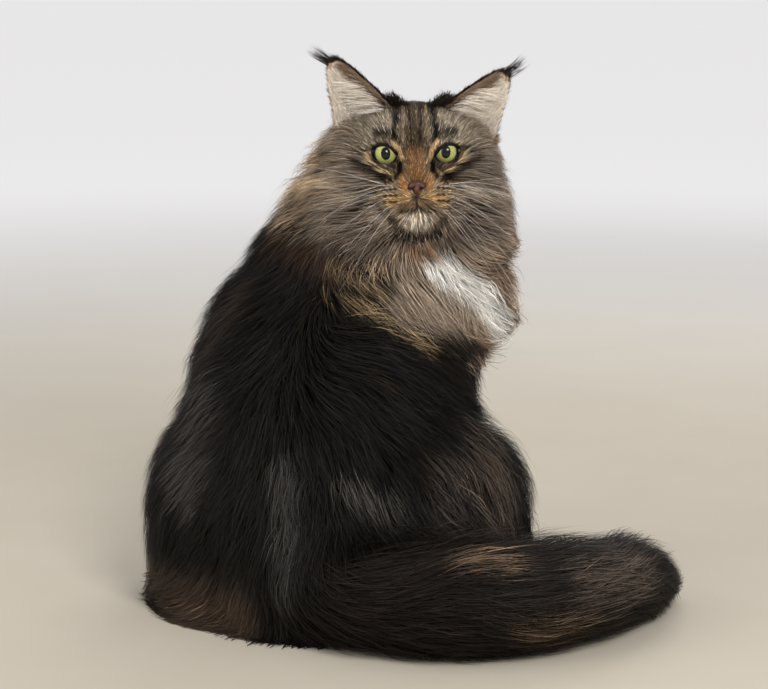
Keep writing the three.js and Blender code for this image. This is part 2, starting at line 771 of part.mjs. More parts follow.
// The lie of the coat: the way that the hair points at a place
const headMiddle = at(...HEAD_AT);
const trunkLie = (p) => at((p.x + 10) / 190, (p.y - 30) / 400, -1);
const ruffLie = (p) => p.clone().sub(headMiddle).normalize().add(at(0, 0, -0.7));
const thighLie = (side) => (p) => at(side * 0.55, -0.2 + (p.y - 20) / 200, -0.9);
function tailLie(p) {
  let best = 0;
  let least = Infinity;
  for (let i = 0; i <= 40; i++) {
    const d = tailLimb.curve.getPoint(i / 40).distanceTo(p);
    if (d < least) [least, best] = [d, i / 40];
  }
  const away = p.clone().sub(tailLimb.curve.getPoint(best)).setLength(0.25);
  return tailLimb.curve.getTangent(best).add(away);
}

// Sizes of the locks, by where they grow
const LONG = { length: 84, width: 43, thick: 8 };
const RUFF = { length: 92, width: 40, thick: 8 };
const BRITCHES = { length: 88, width: 44, thick: 8 };
const TAIL_LOCK = { length: 96, width: 44, thick: 8 };
const JOWL = { length: 62, width: 26, thick: 6 };

// Every node has its core, swollen by grow, its locks and its material, and is cut clear of those before it
const NODES = [];
const node = (name, material, core, locks = []) => NODES.push({ name, material, core, locks });
const thighForms = thighs.map((mass) => new Form([mass], 1, HEM));

for (const [name, side] of SIDES) {
  node("eye_" + name, EYE_GREEN, (grow) => eyeball(side, grow));
}
node("nose", NOSE_LEATHER, (grow) => cut(
  wrap(nosePad, inHead(0, 57, -13), { columns: 12, rows: 9, grow }),
  grow ? [] : SIDES.map(([, side]) => nostril(side)),
));

// The head's own locks hang from its cheeks and jaw in two fans, one behind the other
const jowls = [];
for (const { back, count, fan } of JOWL_FANS) {
  for (let i = 0; i < count; i++) {
    const turn = radians(THREE.MathUtils.lerp(-fan, fan, i / (count - 1)) + 4 * draw());
    const way = at(Math.sin(turn), back, -Math.cos(turn)).transformDirection(headFrame);
    jowls.push(new Lock(coat, head.reach(HEAD_MIDDLE, way, CORE), ruffLie, JOWL));
  }
}
node("head", DARK_TABBY, (grow) => {
  const pole = at(0, 1, 0).transformDirection(headFrame);
  const bare = wrap(head, HEAD_MIDDLE, { columns: 28, rows: 20, grow, pole, focus: 1.35 });
  const built = join([bare, lowerLip(grow), ...SIDES.map(([, side]) => lidShell(side, grow))]);
  return grow ? built : cut(built, [mouthLine(), ...SIDES.map(([, side]) => eyeOpening(side))]);
}, jowls);

for (const [name, side] of SIDES) {
  const ear = EARS[name];
  node("ear_" + name, EAR_BUFF, (grow) => join([pinna(ear, grow), ...earTuft(side, ear, grow)]));
}

const ruffLocks = roots(neck, NECK_MIDDLE, 42).map((root) => new Lock(coat, root, ruffLie, RUFF));
node("neck", GREY_BROWN, (grow) => wrap(neck, NECK_MIDDLE, { columns: 16, rows: 12, grow }), ruffLocks);

const trunkCore = (grow) => wrap(trunk, TRUNK_MIDDLE, { columns: 20, rows: 14, grow });
function trunkLocks(middle, count, over) {
  const mine = roots(trunk, middle, count).filter((root) => isOverWaist(root) === over);
  return mine.map((root) => new Lock(coat, root, trunkLie, LONG));
}
const chestLocks = trunkLocks(at(-12, 48, 205), 60, true);
const hipLocks = trunkLocks(at(-6, 0, 110), 54, false);
node("chest", BLACK_BROWN, (grow) => trunkCore(grow).intersect(overWaist(grow)), chestLocks);
node("hips", BLACK_BROWN, trunkCore, hipLocks);

// Each foreleg ends at the wrist, on top of a paw with four toes
for (const [name] of SIDES) {
  const limb = new Limb(forelegs[name]);
  const paw = pawForm(...forelegs[name].slice(-2));
  node("forepaw_" + name, FOOT_BROWN, (grow) => wrap(paw.form, paw.middle, { columns: 16, rows: 12, grow }));
  node("foreleg_" + name, DARK_TABBY, (grow) => tube(limb, { grow, sides: 10, steps: 4, to: 0.7 }));
}
SIDES.forEach(([name], i) => {
  node("hind_foot_" + name, FOOT_BROWN, (grow) => tube(footLimbs[i], { grow, sides: 12, steps: 6 }));
});
SIDES.forEach(([name, side], i) => {
  const middle = at(...thighAt(side));
  const form = thighForms[i];
  const locks = roots(form, middle, 30).map((root) => new Lock(coat, root, thighLie(side), BRITCHES));
  node("thigh_" + name, BLACK_BROWN, (grow) => wrap(form, middle, { columns: 14, rows: 10, grow }), locks);
});

// Rings of locks down the tail, each ring turned half a lock from the last
const TAIL_PARTS = [
  ["tail_base", 0, 0.33, [true, false]],
  ["tail_middle", 0.333, 0.66, [false, false]],
  ["tail_end", 0.663, 1, [false, true]],
];
const TAIL_RINGS = 6;
const TAIL_AROUND = 4;
for (const [name, from, to, round] of TAIL_PARTS) {
  const locks = [];
  for (let r = 0; r < TAIL_RINGS; r++) {
    const u = 0.12 + (0.76 * r) / (TAIL_RINGS - 1);
    if (u < from || u >= to) continue;
    for (let i = 0; i < TAIL_AROUND; i++) {
      const turn = ((i + 0.5 * (r % 2)) / TAIL_AROUND) * 2 * Math.PI + 0.2 * draw();
      const ahead = tailLimb.curve.getTangent(u);
      const across = at(0, 0, 1).cross(ahead).normalize();
      const up = ahead.clone().cross(across);
      const way = across.multiplyScalar(Math.cos(turn)).addScaledVector(up, Math.sin(turn));
      const root = tail.reach(tailLimb.curve.getPoint(u), way, CORE);
      const length = TAIL_LOCK.length * THREE.MathUtils.lerp(1.1, 0.6, u); // shorter towards the tip
      if (root.z < 8 || coat.distance(root, CORE) < 2) continue;
      locks.push(new Lock(tail, root, tailLie, { ...TAIL_LOCK, length }));
    }
  }
  node(name, BLACK_BROWN, (grow) => tube(tailLimb, { grow, sides: 10, steps: 4, from, to, round }), locks);
}

const cat = new THREE.Group();
const whole = ({ core, locks }, grow) => join([core(grow), ...locks.map((lock) => lock.solid(grow))]);
const swollen = [];
for (const one of NODES) {
  const body = largest(cut(whole(one, 0), swollen));
  cat.add(meshOf(one.name, body, one.material));
  swollen.push(whole(one, GROW));
}

export default cat;
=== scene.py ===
"""A sitting maine coon cat that looks back over its right shoulder, with its skin, coat, eyes and whiskers.

Sizes are in millimetres in the body's own frame: +X is the cat's right, +Y the way its hips face, +Z up. Each
mesh is brought to metres once it is made. The head has its own frame: +x its right, +y where it looks, +z up.
"""

import json
import logging
import math
from dataclasses import dataclass, field
from enum import Enum
from typing import Any, Callable

import bpy
import numpy as np
from mathutils import Matrix, Vector
from mathutils.kdtree import KDTree

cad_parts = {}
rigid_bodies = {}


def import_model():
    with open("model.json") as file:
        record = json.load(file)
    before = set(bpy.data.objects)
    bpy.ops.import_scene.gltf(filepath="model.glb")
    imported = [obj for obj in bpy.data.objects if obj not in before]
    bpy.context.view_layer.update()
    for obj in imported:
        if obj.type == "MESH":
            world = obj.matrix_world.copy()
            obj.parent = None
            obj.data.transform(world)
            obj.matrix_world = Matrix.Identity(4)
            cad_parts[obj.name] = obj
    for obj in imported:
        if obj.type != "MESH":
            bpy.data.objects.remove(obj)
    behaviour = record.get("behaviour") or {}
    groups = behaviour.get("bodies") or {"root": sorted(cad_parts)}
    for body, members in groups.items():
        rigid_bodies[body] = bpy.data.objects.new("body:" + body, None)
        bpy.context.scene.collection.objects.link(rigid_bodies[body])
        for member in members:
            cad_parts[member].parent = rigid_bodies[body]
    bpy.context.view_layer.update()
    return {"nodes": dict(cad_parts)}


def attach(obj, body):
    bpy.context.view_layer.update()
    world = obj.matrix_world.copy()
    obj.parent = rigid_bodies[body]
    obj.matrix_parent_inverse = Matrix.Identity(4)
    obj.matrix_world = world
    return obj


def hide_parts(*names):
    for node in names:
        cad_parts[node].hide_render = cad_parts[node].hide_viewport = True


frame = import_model()

LOG = logging.getLogger("maine_coon")
Points = np.ndarray
Colour = tuple[float, float, float]
Station = tuple[float, float, float, float, float]  # x, y, z, radius, coat

MM = 0.001
ROOT = "root"
BARE = 0.0  # share of the coat's depth at the skin
FLOOR_GAP = 0.6  # lowest that hair lies
HEM = 70.0  # under this height the coat hangs to the floor instead of curving in
HANG = 0.4  # how much of the curve is left there
TINY = 1e-9  # keeps a length that is divided by from being zero
LEAF = 2.0  # how thick an ear is


def srgb(red: float, green: float, blue: float) -> Colour:
    """Linear colour of a display colour given from 0 to 255."""

    def linear(value: float) -> float:
        """One channel, by the display's own curve."""
        share = value / 255
        return share / 12.92 if value < 10.3 else ((share + 0.055) / 1.055) ** 2.4

    return linear(red), linear(green), linear(blue)


def unit(vectors: Points) -> Points:
    """The same directions at length one."""
    return vectors / np.maximum(np.linalg.norm(vectors, axis=-1, keepdims=True), TINY)


def flat_on(vectors: Points, normals: Points) -> Points:
    """The part of each vector that lies along the surface."""
    return vectors - normals * np.sum(vectors * normals, axis=-1, keepdims=True)


def smooth(values: Points) -> Points:
    """An ease from 0 to 1 over the range 0 to 1."""
    t = np.clip(values, 0, 1)
    return t * t * (3 - 2 * t)


def above(values: Points, start: float, span: float) -> Points:
    """An ease from 0 where values reach start to 1 a span higher."""
    return smooth((values - start) / span)


def below(values: Points, start: float, span: float) -> Points:
    """An ease from 0 where values reach start to 1 a span lower."""
    return smooth((start - values) / span)


def turn(yaw: float = 0, nod: float = 0, lean: float = 0) -> Points:
    """A turn about the upright axis, after a nod about the sideways one and a lean about the forward one."""
    spin = Matrix.Rotation(math.radians(yaw), 3, "Z")
    tip = Matrix.Rotation(math.radians(nod), 3, "X")
    return np.array(spin @ tip @ Matrix.Rotation(math.radians(lean), 3, "Y"))


@dataclass(frozen=True)
class Ripple:
    """Smooth noise through space, about as large as one, made of a few waves."""

    seed: int
    wave: float
    waves: int = 12

    def at(self, points: Points) -> Points:
        """Its value at each place."""
        rng = np.random.default_rng(self.seed)
        ways = unit(rng.normal(size=(self.waves, 3)))
        ways = ways * 2 * math.pi / (self.wave * rng.uniform(0.7, 1.4, (self.waves, 1)))
        phases = rng.uniform(0, 2 * math.pi, self.waves)
        return np.sin(points @ ways.T + phases).sum(axis=1) * math.sqrt(2 / self.waves)


class Side(Enum):
    """The cat's two sides, with the sign of x on each."""

    RIGHT = 1
    LEFT = -1

    @property
    def word(self) -> str:
        """The side as it stands in a node's name."""
        return self.name.lower()


class Region(Enum):
    """Stretches of the coat, each grown as a piece or two of its own."""

    FACE = "face"
    CROWN = "crown"
    CHEEK = "cheek"
    RUFF = "ruff"
    CHEST = "chest"
    BACK = "back"
    BRITCHES_RIGHT = "britches_right"
    BRITCHES_LEFT = "britches_left"
    LEG = "leg"
    FOOT = "foot"
    TAIL = "tail"


@dataclass(frozen=True)
class HeadFrame:
    """Where the head is, and how to reach places given in its own frame."""

    at: tuple[float, float, float] = (46.6, 64.9, 372.0)
    yaw: float = 200.0
    nod: float = 2.0
    lean: float = 1.5

    @property
    def axes(self) -> Points:
        """The head's axes, as the columns of a matrix."""
        return turn(self.yaw, self.nod, self.lean)

    def out(self, local: Points) -> Points:
        """Places in the head's frame, in the body's frame."""
        return np.asarray(local, float) @ self.axes.T + np.array(self.at)

    def into(self, points: Points) -> Points:
        """Places in the body's frame, in the head's frame."""
        return (np.asarray(points, float) - np.array(self.at)) @ self.axes

    def way(self, local: Points) -> Points:
        """Directions in the head's frame, in the body's frame."""
        return np.asarray(local, float) @ self.axes.T


HEAD = HeadFrame()
Lie = Callable[[Points], Points]


@dataclass(frozen=True)
class Pelt:
    """How the hair of one stretch grows: its size, the way that it lies, its colours and how dense it is."""

    region: Region
    length: float
    width: float
    lie: Lie
    colour: Colour
    light: Colour
    dense: float
    joints: int


@dataclass
class Mass:
    """One rounded mass of flesh: an ellipsoid, with the depth of the coat that grows on it."""

    centre: Points
    radii: tuple[float, float, float]
    coat: float
    pelt: Pelt
    axes: Points = field(default_factory=lambda: np.eye(3))

    def sense(self, points: Points, share: Points) -> tuple[Points, Points]:
        """About how far points are outside it.

        Args:
            points: Places to measure.
            share: How much of the coat is on, one value for each place.

        Returns:
            The distances, and the directions that lead straight out.
        """
        q = (points - self.centre) @ self.axes
        fat = np.asarray(self.radii) + self.coat * share[:, None]
        near = np.linalg.norm(q / fat, axis=1)
        pull = q / fat**2
        slope = np.maximum(np.linalg.norm(pull, axis=1), TINY)
        return near * (near - 1) / slope, (pull / slope[:, None]) @ self.axes.T

    def blank(self) -> None:
        """Adds the primitive that the skin starts from, and leaves it selected."""
        bpy.ops.mesh.primitive_uv_sphere_add(segments=32, ring_count=18, radius=1)
        ball = bpy.context.object
        ball.data.transform(Matrix.Diagonal((*self.radii, 1)))
        ball.data.transform(Matrix(self.axes.tolist()).to_4x4())
        ball.data.transform(Matrix.Translation(self.centre.tolist()))


@dataclass
class Limb:
    """A leg, neck or tail: round stations in a chain, each x, y, z, radius and coat."""

    stations: list[Station]
    pelt: Pelt
    fine: int = 3

    def __post_init__(self) -> None:
        """Draws a smooth run of stations through those given."""
        raw = np.array(self.stations, float)
        ends = np.vstack([2 * raw[0] - raw[1], raw, 2 * raw[-1] - raw[-2]])
        run = []
        for i in range(1, len(ends) - 2):
            a, b, c, d = ends[i - 1 : i + 3]
            for t in np.arange(self.fine) / self.fine:
                bend = (2 * a - 5 * b + 4 * c - d) * t**2 + (3 * b - a - 3 * c + d) * t**3
                run.append(0.5 * (2 * b + (c - a) * t + bend))
        self.run = np.array([*run, raw[-1]])

    def nearest(self, points: Points) -> tuple[Points, Points, Points, Points]:
        """For each place: how far off the middle line is, the way out, its segment and the share along."""
        best = np.full(len(points), np.inf)
        out = np.zeros_like(points)
        place = np.zeros(len(points), int)
        along = np.zeros(len(points))
        for i in range(len(self.run) - 1):
            a, b = self.run[i, :3], self.run[i + 1, :3]
            step = b - a
            t = np.clip((points - a) @ step / (step @ step), 0, 1)
            gap = points - (a + t[:, None] * step)
            far = np.linalg.norm(gap, axis=1)
            nearer = far < best
            best = np.where(nearer, far, best)
            out[nearer] = gap[nearer]
            place[nearer] = i
            along[nearer] = t[nearer]
        return best, unit(out), place, along

    def sense(self, points: Points, share: Points) -> tuple[Points, Points]:
        """About how far points are outside it, and the directions that lead straight out. See Mass.sense."""
        far, out, place, along = self.nearest(points)
        ends = self.run[place, 3:] * (1 - along[:, None]) + self.run[place + 1, 3:] * along[:, None]
        return far - ends[:, 0] - ends[:, 1] * share, out

    def tangent(self, points: Points) -> Points:
        """The way along the chain beside each place."""
        _, _, place, along = self.nearest(points)
        steps = unit(np.gradient(self.run[:, :3], axis=0))
        return unit(steps[place] * (1 - along[:, None]) + steps[place + 1] * along[:, None])

    def blank(self) -> None:
        """Adds the balls that the skin starts from, and leaves the last selected."""
        for x, y, z, radius, _ in self.run:
            at = (x, y, z)
            bpy.ops.mesh.primitive_uv_sphere_add(segments=20, ring_count=12, radius=radius, location=at)


@dataclass
class Form:
    """Masses, limbs and smaller forms run together into one smooth form, which may hang under a hem."""

    pieces: list[Any]
    softness: float
    hem: float = -math.inf

    def sense(self, points: Points, share: Points) -> tuple[Points, Points]:
        """About how far points are outside it, and the slope of that distance. See Mass.sense."""
        low = points[:, 2] < self.hem
        if low.any():
            points = points.copy()
            points[low, 2] = self.hem - (self.hem - points[low, 2]) * HANG
        found = [piece.sense(points, share) for piece in self.pieces]
        gaps = np.array([gap for gap, _ in found])
        least = gaps.min(axis=0)
        weights = np.exp(-(gaps - least) / self.softness)
        total = weights.sum(axis=0)
        slope = sum(w[:, None] * out for w, (_, out) in zip(weights, found)) / total[:, None]
        if low.any():
            slope[low, 2] *= HANG
        return least - self.softness * np.log(total), slope

    def settle(self, points: Points, share: Points) -> Points:
        """Moves points straight in or out to the level of the coat that is asked for."""
        gap, slope = self.sense(points, share)
        steep = np.maximum(np.sum(slope**2, axis=1), 0.2)
        return points - slope * (gap / steep)[:, None]

    def leaves(self) -> list[Any]:
        """Every mass and limb in it."""
        return [leaf for p in self.pieces for leaf in (p.leaves() if isinstance(p, Form) else [p])]


def trunk_lie(p: Points) -> Points:
    """Down the back, fanning out to the sides, and over the right shoulder to the chest."""
    aside = np.clip((p[:, 0] + 8) / 95, -1.2, 1.2)
    over = above(p[:, 2], 150, 90) * above(p[:, 0], -14, 50)
    low = 0.6 * below(p[:, 2], 46, 24) * below(p[:, 0], -30, 40)
    down = np.stack([aside + 1.5 * over, (p[:, 1] - 30) / 400 + 0.7 * over, -np.ones(len(p))], axis=1)
    return down * (1 - low[:, None]) + np.array([-1, 0.2, -0.25]) * low[:, None]


def ruff_lie(p: Points) -> Points:
    """Out and down all round the head, and with the shoulder's hair over the right of the back."""
    over = below(p[:, 2], 310, 40) * above(p[:, 0], -14, 40) * below(p[:, 1], 40, 40)
    return unit(p - np.array(HEAD.at)) + np.array([0, 0, -0.7]) + over[:, None] * np.array([1.3, 0.6, 0.1])


def face_lie(p: Points) -> Points:
    """Back over the face from the nose, dropping at the sides."""
    q = HEAD.into(p)
    away = unit(q - np.array([0, 66, -30]))
    away[:, 2] -= 0.35 * above(np.abs(q[:, 0]), 14, 30)
    return HEAD.way(away)


def cheek_lie(p: Points) -> Points:
    """Out, back and down from the cheeks."""
    q = HEAD.into(p)
    return HEAD.way(np.stack([q[:, 0] / 24, np.full(len(q), -0.55), -0.75 + 0 * q[:, 0]], axis=1))


def thigh_lie(side: Side) -> Lie:
    """Down and out over one thigh, and on the right one round in a whorl that runs out along the tail."""

    def lie(p: Points) -> Points:
        whorl = below(p[:, 2], 130, 60) * below(p[:, 1], 0, 60) * (side is Side.RIGHT)
        low = below(p[:, 2], 46, 24) * (side is Side.LEFT)
        aside = side.value * (0.75 + 0.5 * whorl + 0.2 * low)
        return np.stack([aside, -0.2 + (p[:, 1] - 20) / 200, -0.85 + 0.5 * whorl + 0.65 * low], axis=1)

    return lie


def along(stations: list[Station], flare: float = 0.0) -> Lie:
    """Along a leg or tail, flaring out from its middle line."""
    line = Limb(stations, None)

    def lie(p: Points) -> Points:
        return line.tangent(p) + flare * line.nearest(p)[1]

    return lie


BLACK = srgb(15, 12, 9)
DARK_SHEEN = srgb(42, 35, 29)
GREY_TAN = srgb(132, 117, 101)
PALE_TAN = srgb(178, 160, 138)
WARM_TAN = srgb(136, 112, 88)
FACE_GREY = srgb(158, 142, 118)
GOLD = srgb(186, 152, 104)
CREAM = srgb(206, 190, 160)
FOOT_BROWN = srgb(62, 50, 40)
TAIL_BROWN = srgb(24, 19, 15)
RUST = srgb(126, 90, 57)
ORANGE = srgb(160, 112, 64)
WHITE = srgb(240, 236, 228)
TICKED = srgb(78, 68, 58)

BACK_PELT = Pelt(Region.BACK, 54, 0.66, trunk_lie, BLACK, DARK_SHEEN, 0.54, 3)
RUMP_PELT = Pelt(Region.BACK, 60, 0.66, trunk_lie, BLACK, DARK_SHEEN, 0.54, 3)
SHOULDER_PELT = Pelt(Region.BACK, 60, 0.66, trunk_lie, BLACK, DARK_SHEEN, 0.54, 3)
BIB_PELT = Pelt(Region.CHEST, 60, 0.66, trunk_lie, BLACK, DARK_SHEEN, 0.7, 4)
RUFF_PELT = Pelt(Region.RUFF, 66, 0.7, ruff_lie, BLACK, DARK_SHEEN, 0.62, 4)
THIGH_PELTS = {
    Side.RIGHT: Pelt(Region.BRITCHES_RIGHT, 68, 0.68, thigh_lie(Side.RIGHT), BLACK, DARK_SHEEN, 0.56, 3),
    Side.LEFT: Pelt(Region.BRITCHES_LEFT, 68, 0.68, thigh_lie(Side.LEFT), BLACK, DARK_SHEEN, 0.56, 3),
}
CROWN_PELT = Pelt(Region.CROWN, 12, 0.46, face_lie, TICKED, FACE_GREY, 1.9, 2)
BROW_PELT = Pelt(Region.FACE, 5.2, 0.4, face_lie, TICKED, CREAM, 3.3, 2)
FACE_PELT = Pelt(Region.FACE, 4.2, 0.38, face_lie, TICKED, GOLD, 3.4, 2)
MUZZLE_PELT = Pelt(Region.FACE, 4.2, 0.38, face_lie, srgb(128, 102, 72), CREAM, 3.4, 2)
LID_PELT = Pelt(Region.FACE, 4.0, 0.4, face_lie, TICKED, CREAM, 3.0, 2)
CHIN_PELT = Pelt(Region.FACE, 5.5, 0.4, face_lie, srgb(112, 95, 72), CREAM, 3.2, 2)
JAW_PELT = Pelt(Region.CHEEK, 26, 0.6, cheek_lie, srgb(86, 75, 63), PALE_TAN, 1.4, 3)
CHEEK_PELT = Pelt(Region.CHEEK, 40, 0.62, cheek_lie, srgb(88, 77, 66), PALE_TAN, 1.2, 3)


def leg_pelt(stations: list[Station]) -> Pelt:
    """The pelt down a foreleg."""
    return Pelt(Region.LEG, 26, 0.8, along(stations, 0.15), TAIL_BROWN, FOOT_BROWN, 0.6, 3)


def foot_pelt(stations: list[Station]) -> Pelt:
    """The pelt of a foot."""
    return Pelt(Region.FOOT, 18, 0.7, along(stations, 0.3), FOOT_BROWN, FACE_GREY, 0.9, 2)


TAIL_STATIONS = [
    (4, -66, 66, 18, 26),
    (30, -88, 50, 16, 30),
    (84, -96, 46, 14, 34),
    (148, -80, 45, 12, 38),
    (198, -36, 44, 10, 37),
    (226, 20, 38, 8, 33),
    (240, 74, 30, 6, 27),
    (248, 116, 20, 3, 17),
]
TAIL_PELT = Pelt(Region.TAIL, 92, 0.75, along(TAIL_STATIONS, 0.3), TAIL_BROWN, srgb(56, 48, 41), 1.1, 4)


@dataclass
class Anatomy:
    """The cat's masses and limbs, the same as the solids' own, with the pelt that each one grows."""

    hip_x: float = 88.0
    chest_turn: float = -30.0
    body_softness: float = 6.0
    head_softness: float = 3.2
    paw_softness: float = 1.6
    toes: tuple[float, ...] = (-1.5, -0.5, 0.5, 1.5)

    def __post_init__(self) -> None:
        """Builds every form."""
        self.foreleg_stations = {
            Side.RIGHT: [
                (42, 60, 215, 30, 20), (50, 84, 128, 24, 18), (52, 106, 46, 17, 14),
                (54, 118, 18, 20, 9), (57, 136, 15, 16, 7),
            ],
            Side.LEFT: [
                (-40, 90, 215, 30, 20), (-32, 108, 128, 24, 18), (-26, 130, 46, 17, 14),
                (-25, 142, 18, 20, 9), (-24, 160, 15, 16, 7),
            ],
        }
        self.hind_stations = {
            Side.RIGHT: [
                (56, -52, 22, 17, 14), (92, -6, 17, 15, 13), (116, 34, 16, 20, 11), (126, 56, 14, 16, 9),
            ],
            Side.LEFT: [
                (-82, -58, 23, 17, 16), (-114, -38, 18, 15, 15),
                (-142, -10, 16, 19, 12), (-153, 8, 14, 16, 10),
            ],
        }
        self.head = Form(self.head_pieces(), self.head_softness)
        trunk = Form(self.trunk_pieces(), self.body_softness, HEM)
        trunk.pieces.append(self.head)
        legs = [piece for side in Side for piece in self.foreleg(side)]
        self.body = Form([trunk, *legs, Limb(TAIL_STATIONS, TAIL_PELT)], self.body_softness)

    def trunk_pieces(self) -> list[Any]:
        """Trunk, neck, thighs and hind feet."""
        slant = turn(self.chest_turn)
        masses = [
            Mass(np.array([-4, -30, 80]), (76, 58, 76), 28, RUMP_PELT),
            Mass(np.array([-4, -14, 42]), (72, 56, 44), 14, RUMP_PELT),
            Mass(np.array([-18, 12, 138]), (90, 84, 84), 31, BACK_PELT),
            Mass(np.array([-26, 47, 198]), (86, 86, 72), 31, BACK_PELT, turn(self.chest_turn / 2)),
            Mass(np.array([-24, 42, 272]), (48, 46, 38), 22, BACK_PELT, slant),
            Mass(np.array([41, 94, 253]), (46, 50, 36), 35, BIB_PELT, turn(1.5 * self.chest_turn)),
            Mass(np.array([8, 106, 330]), (52, 40, 42), 40, RUFF_PELT),
            Limb([(1, 66, 262, 61, 29), (11, 82, 300, 54, 36), (24, 98, 328, 42, 32)], RUFF_PELT, 1),
        ]
        for side in Side:
            shoulder = slant @ np.array([side.value * 54, 0, 0]) + np.array([-4, 66, 226])
            masses.append(Mass(shoulder, (30, 48, 58), 31 - side.value * 5, SHOULDER_PELT, slant))
            thigh = np.array([side.value * self.hip_x - 9, 20 - side.value * 2, 82])
            masses.append(Mass(thigh, (48, 80, 70), 30, THIGH_PELTS[side], turn(side.value * -8)))
            masses.append(Limb(self.hind_stations[side], foot_pelt(self.hind_stations[side]), 2))
        return masses

    def head_pieces(self) -> list[Mass]:
        """Skull, face, muzzle and cheeks."""

        def mass(centre: tuple, radii: tuple, coat: float, pelt: Pelt, nod: float = 0) -> Mass:
            return Mass(HEAD.out([centre])[0], radii, coat, pelt, HEAD.axes @ turn(nod=nod))

        pieces = [
            mass((0, -14, 7), (42, 48, 34), 8, CROWN_PELT),
            mass((0, 12, 16), (30, 26, 22), 7, BROW_PELT),
            mass((0, 34, 1), (10, 25, 10), 3, FACE_PELT, -26),
            mass((0, 36, -20), (18, 20, 14), 3, FACE_PELT),
            mass((0, 40, -41), (13, 12, 9.5), 5, CHIN_PELT),
            mass((0, 12, -34), (26, 34, 18), 18, JAW_PELT),
        ]
        for side in Side:
            s = side.value
            pieces.append(mass((s * 26, -4, -14), (22, 30, 26), 26, CHEEK_PELT))
            pieces.append(mass((s * 22, 18, 14), (15, 16, 12), 6, BROW_PELT))
            pieces.append(mass((s * 11, 45.5, -25), (13, 12, 11), 3, MUZZLE_PELT))
            pieces.append(mass((s * 24.4, 31, 8), (12, 12, 12), 1.5, LID_PELT))
        pieces += [
            mass((28, -4, -44), (20, 26, 22), 30, CHEEK_PELT),
            mass((-33, -2, -54), (22, 26, 27), 31, CHEEK_PELT),
            mass((48, -12, 8), (16, 18, 16), 14, JAW_PELT),
            mass((-40, -10, 8), (14, 16, 16), 11, JAW_PELT),
        ]
        return pieces

    def foreleg(self, side: Side) -> list[Any]:
        """A foreleg with its paw: a low pad with four toes in a bow before it."""
        stations = self.foreleg_stations[side]
        heel, ball = np.array(stations[-2]), np.array(stations[-1])
        yaw = math.degrees(math.atan2(heel[0] - ball[0], ball[1] - heel[1]))
        axes = turn(yaw)
        wide = ball[3]
        pad = heel[:3] + 0.35 * (ball[:3] - heel[:3])
        pad[2] = 0.9 * wide
        pelt = foot_pelt(stations)
        pieces = [Mass(pad, (wide, 1.2 * wide, wide), ball[4], pelt, axes)]
        for place in self.toes:
            toe = ball[:3] + axes @ np.array([place * 0.6, 0.62 - 0.12 * place**2, 0]) * wide
            toe[2] = 0.62 * wide
            pieces.append(Mass(toe, (0.32 * wide, 0.62 * wide, 0.5 * wide), 3, pelt, axes))
        leg = Limb(stations[:-1], leg_pelt(stations), 2)
        return [leg, Form(pieces, self.paw_softness)]


@dataclass(frozen=True)
class Mark:
    """A soft-edged stroke of other colour through a run of points, in the body's frame."""

    points: tuple[tuple[float, ...], ...]
    wide: float
    colour: Colour
    strength: float = 1.0
    edge: float = 0.5
    grain: float = 0.45

    def places(self, points: Points) -> Points:
        """The places that its run is measured among."""
        return points

    def cover(self, points: Points) -> Points:
        """How much of each place it covers."""
        places = self.places(points)
        run = np.array(self.points, float)
        run = np.vstack([run, run[-1:] + 1e-3]) if len(run) == 1 else run
        far = np.full(len(places), np.inf)
        for a, b in zip(run[:-1], run[1:]):
            t = np.clip((places - a) @ (b - a) / ((b - a) @ (b - a)), 0, 1)
            far = np.minimum(far, np.linalg.norm(places - a - t[:, None] * (b - a), axis=1))
        return self.strength * smooth((1 + self.edge - far / self.wide) / (2 * self.edge))


@dataclass(frozen=True)
class FaceMark(Mark):
    """A mark seen from straight ahead of the head: its points are aside and up in the head's frame."""

    back: float = -6.0

    def places(self, points: Points) -> Points:
        """Aside and up in the head's frame, with what lies behind the face put out of reach."""
        q = HEAD.into(points)
        q[:, 2] += np.where(q[:, 1] < self.back, 400, 0)
        return q[:, [0, 2]]


def paired(points: tuple[tuple[float, float], ...], *rest: Any, **more: Any) -> list[FaceMark]:
    """A face mark on both sides of the head."""
    return [FaceMark(tuple((side.value * x, z) for x, z in points), *rest, **more) for side in Side]


